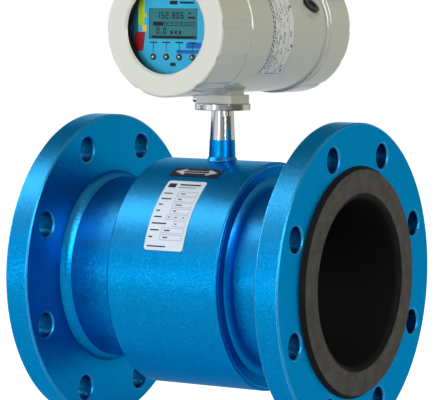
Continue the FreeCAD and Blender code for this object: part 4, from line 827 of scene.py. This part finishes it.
def weld_bead(name, node, face_x, toe_x, toe_r, top_r):
    """Rippled fillet weld around the tube, in place of the plain CAD ring."""
    around, across = 720, 10        # facets
    pitch, ripple = 4.4, 0.12       # of the ripples, in millimetres
    swell, sway = 0.8, 0.4          # height of the bead and its slow unevenness
    lean = 0.7                      # the bead swells at 45 degrees
    slow = ((0.35, 5, 1.3), (0.25, 11, 0.4))    # share, waves in a turn, phase
    outward = 1 if toe_x > face_x else -1
    points, faces = [], []
    for i in range(around):
        angle = 2 * math.pi * i / around
        beat = (angle * toe_r / MM) / pitch
        wave = abs((beat % 1.0) * 2 - 1)
        drift = sum(share * math.sin(angle * waves + phase) for share, waves, phase in slow)
        for j in range(across + 1):
            t = j / across
            bulge = math.sin(math.pi * t)
            push = bulge * (swell + ripple * (wave - 0.5) + sway * drift) * MM * lean
            x = toe_x + (face_x - toe_x) * t + outward * push
            r = toe_r + (top_r - toe_r) * t + push
            points.append((x, -r * math.cos(angle), r * math.sin(angle)))
    row = across + 1
    for i in range(around):
        k = (i + 1) % around
        for j in range(across):
            a, b = i * row + j, k * row + j
            faces.append((a, b, b + 1, a + 1))
    piece = add(name, points, faces, PAINT_WELD, "meter", smooth=True)
    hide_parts(node)


TOE_SINK, TOP_SINK = 0.0001, 0.0003     # a bead starts inside the tube and ends in its ring
for end, side in (("inlet", -1), ("outlet", 1)):
    for kind in ("flange", "housing"):
        node = f"{end}_{kind}_weld"
        lo, hi = low(node), high(node)
        top = (hi.y - lo.y) / 2 - TOP_SINK
        if (kind == "flange") == (side < 0):
            face_x, toe_x = lo.x, hi.x
        else:
            face_x, toe_x = hi.x, lo.x
        weld_bead(f"{node}_bead", node, face_x, toe_x, TUBE_R - TOE_SINK, top)


# --------------------------------------------------------------------------------------
# Stage, light and camera
# --------------------------------------------------------------------------------------

WHITE_LIGHT = (1.0, 1.0, 1.0, 1.0)
FLOOR_GLOW = 0.82           # how bright the bare floor looks
FLOOR_IN_GLOSS = 0.34       # the share of it that reflections see
FLOOR_HALF = 4.0
FLOOR_GAP = 0.0004          # below the flanges
LIGHT_AIM = Vector((0.0, 0.0, 0.07))


def seen_directly(s, path):
    """1 for what the camera sees, also through the window."""
    return s.math("MAXIMUM", path["Is Camera Ray"], path["Is Transmission Ray"])


def floor():
    """Plain pale floor under the flanges."""
    made, s = material("floor_pale")
    path = s.node("ShaderNodeLightPath").outputs
    seen = s.math("MAXIMUM", seen_directly(s, path),
                  s.math("MULTIPLY", path["Is Glossy Ray"], FLOOR_IN_GLOSS))
    matt = s.node("ShaderNodeBsdfDiffuse", Color=(0.80, 0.80, 0.80, 1.0))
    glow = s.node("ShaderNodeEmission", Color=WHITE_LIGHT,
                  Strength=s.math("MULTIPLY", seen, FLOOR_GLOW))
    s.surface(s.join("ShaderNodeAddShader", matt.outputs[0], glow.outputs[0]))
    level = low("inlet_flange").z - FLOOR_GAP
    corners = ((-1, -1), (1, -1), (1, 1), (-1, 1))
    mesh = bpy.data.meshes.new("floor")
    mesh.from_pydata([(x * FLOOR_HALF, y * FLOOR_HALF, level) for x, y in corners], [],
                     [(0, 1, 2, 3)])
    mesh.materials.append(made)
    piece = bpy.data.objects.new("floor", mesh)
    bpy.context.scene.collection.objects.link(piece)


# what gloss sees around the object: a direction, the cosines of the angles to it between
# which its tone comes in, and the tone
GLOSS_ROOM = (0.36, 0.365, 0.36, 1.0)
GLOSS_SPOTS = (
    ((-0.35, -0.92, 0.05), 0.72, 0.97, (0.95, 0.97, 1.0, 1.0)),
    ((-0.50, 0.40, 0.75), 0.80, 0.97, (0.24, 0.25, 0.27, 1.0)),
    ((0.97, -0.10, 0.05), 0.62, 0.90, (0.13, 0.13, 0.105, 1.0)),
    ((0.55, 0.83, 0.05), 0.86, 0.97, (0.70, 0.68, 0.58, 1.0)),
    ((-0.51, 0.85, 0.10), 0.88, 0.97, (1.0, 1.0, 1.0, 1.0)),
    ((-1.0, 0.05, 0.0), 0.93, 0.98, (0.90, 0.92, 0.95, 1.0)),
)
# the light of the room, a little warmer from the right
LIGHT_ROOM = (0.46, 0.465, 0.46, 1.0)
LIGHT_SPOTS = (
    ((0.97, -0.10, 0.05), 0.20, 0.95, (0.46, 0.45, 0.33, 1.0)),
)


def backdrop():
    """White behind the object; a plain room for its light and an uneven one for its gloss."""
    world = bpy.data.worlds.new("studio")
    bpy.context.scene.world = world
    s = Shader(world)
    path = s.node("ShaderNodeLightPath").outputs
    way = s.node("ShaderNodeTexCoord").outputs["Generated"]

    def room(colour, spots):
        for direction, start, end, tone in spots:
            near = s.vector("DOT_PRODUCT", way, tuple(Vector(direction).normalized()))
            colour = s.mix(s.ramp(near, start, end, smooth=True), colour, tone)
        return colour

    around = s.mix(path["Is Glossy Ray"], room(LIGHT_ROOM, LIGHT_SPOTS),
                   room(GLOSS_ROOM, GLOSS_SPOTS))
    shown = s.node("ShaderNodeBackground", Strength=1.0,
                   Color=s.mix(seen_directly(s, path), around, WHITE_LIGHT))
    out = s.node("ShaderNodeOutputWorld")
    s.tree.links.new(shown.outputs[0], out.inputs["Surface"])


def lamp(name, direction, distance, size, power, colour=(1.0, 1.0, 1.0), gloss=True,
         matt=True, height=None):
    """Soft light aimed at the object, for matt surfaces, reflections or both."""
    data = bpy.data.lights.new(name, "AREA")
    data.shape = "RECTANGLE"
    data.size = size
    data.size_y = height or size
    data.energy = power
    data.color = colour
    item = bpy.data.objects.new(name, data)
    bpy.context.scene.collection.objects.link(item)
    unit = Vector(direction).normalized()
    item.location = LIGHT_AIM + unit * distance
    item.rotation_euler = (-unit).to_track_quat("-Z", "Y").to_euler()
    item.visible_glossy = gloss
    item.visible_diffuse = matt


def side_and_up(ahead):
    """Level side axis and up axis of a view."""
    side = ahead.cross(Vector((0, 0, 1))).normalized()
    return side, side.cross(ahead)


def camera():
    """Camera of the product view, about 31 degrees round from the front and 6 up."""
    azimuth, elevation, roll = (math.radians(turn) for turn in (30.98, 5.85, 0.59))
    distance = 2.394                        # from the middle of the pipe
    off_side, off_up = -0.0039, 0.0669      # from there to the point aimed at
    lens_mm, sensor_mm = 215.19807, 36.0
    spot = Vector((math.sin(azimuth) * math.cos(elevation),
                   -math.cos(azimuth) * math.cos(elevation),
                   math.sin(elevation))) * distance
    side, up = side_and_up((-spot).normalized())
    ahead = (side * off_side + up * off_up - spot).normalized()
    side, up = side_and_up(ahead)
    rolled_side = side * math.cos(roll) + up * math.sin(roll)
    rolled_up = up * math.cos(roll) - side * math.sin(roll)
    data = bpy.data.cameras.new("camera")
    data.sensor_width = sensor_mm
    data.lens = lens_mm
    data.clip_start = 0.1
    data.clip_end = 50.0
    item = bpy.data.objects.new("camera", data)
    bpy.context.scene.collection.objects.link(item)
    axes = Matrix((rolled_side, rolled_up, -ahead)).transposed().to_4x4()
    item.matrix_world = Matrix.Translation(spot) @ axes
    bpy.context.scene.camera = item


floor()
backdrop()
lamp("key_light", (-0.51, -0.38, 0.72), distance=2.0, size=0.9, power=5.6)
lamp("front_light", (-0.10, -0.99, -0.02), distance=3.0, size=1.5, power=72.0, gloss=False)
lamp("right_light", (0.85, -0.20, 0.35), distance=3.0, size=1.2, power=10.0,
     colour=(1.0, 0.95, 0.72), gloss=False)
lamp("spark_light", (-0.51, -0.85, -0.16), distance=3.0, size=0.7, power=17.0, matt=False)
lamp("front_strip", (-0.08, -0.99, 0.05), distance=3.0, size=0.3, height=3.0, power=20.0,
     matt=False)
lamp("left_strip", (-0.97, -0.26, 0.42), distance=3.0, size=0.45, height=2.0, power=34.0,
     matt=False)
lamp("right_strip", (0.85, -0.51, 0.42), distance=3.0, size=0.45, height=2.0, power=42.0,
     matt=False)
camera()

bpy.context.scene.view_settings.view_transform = "Standard"
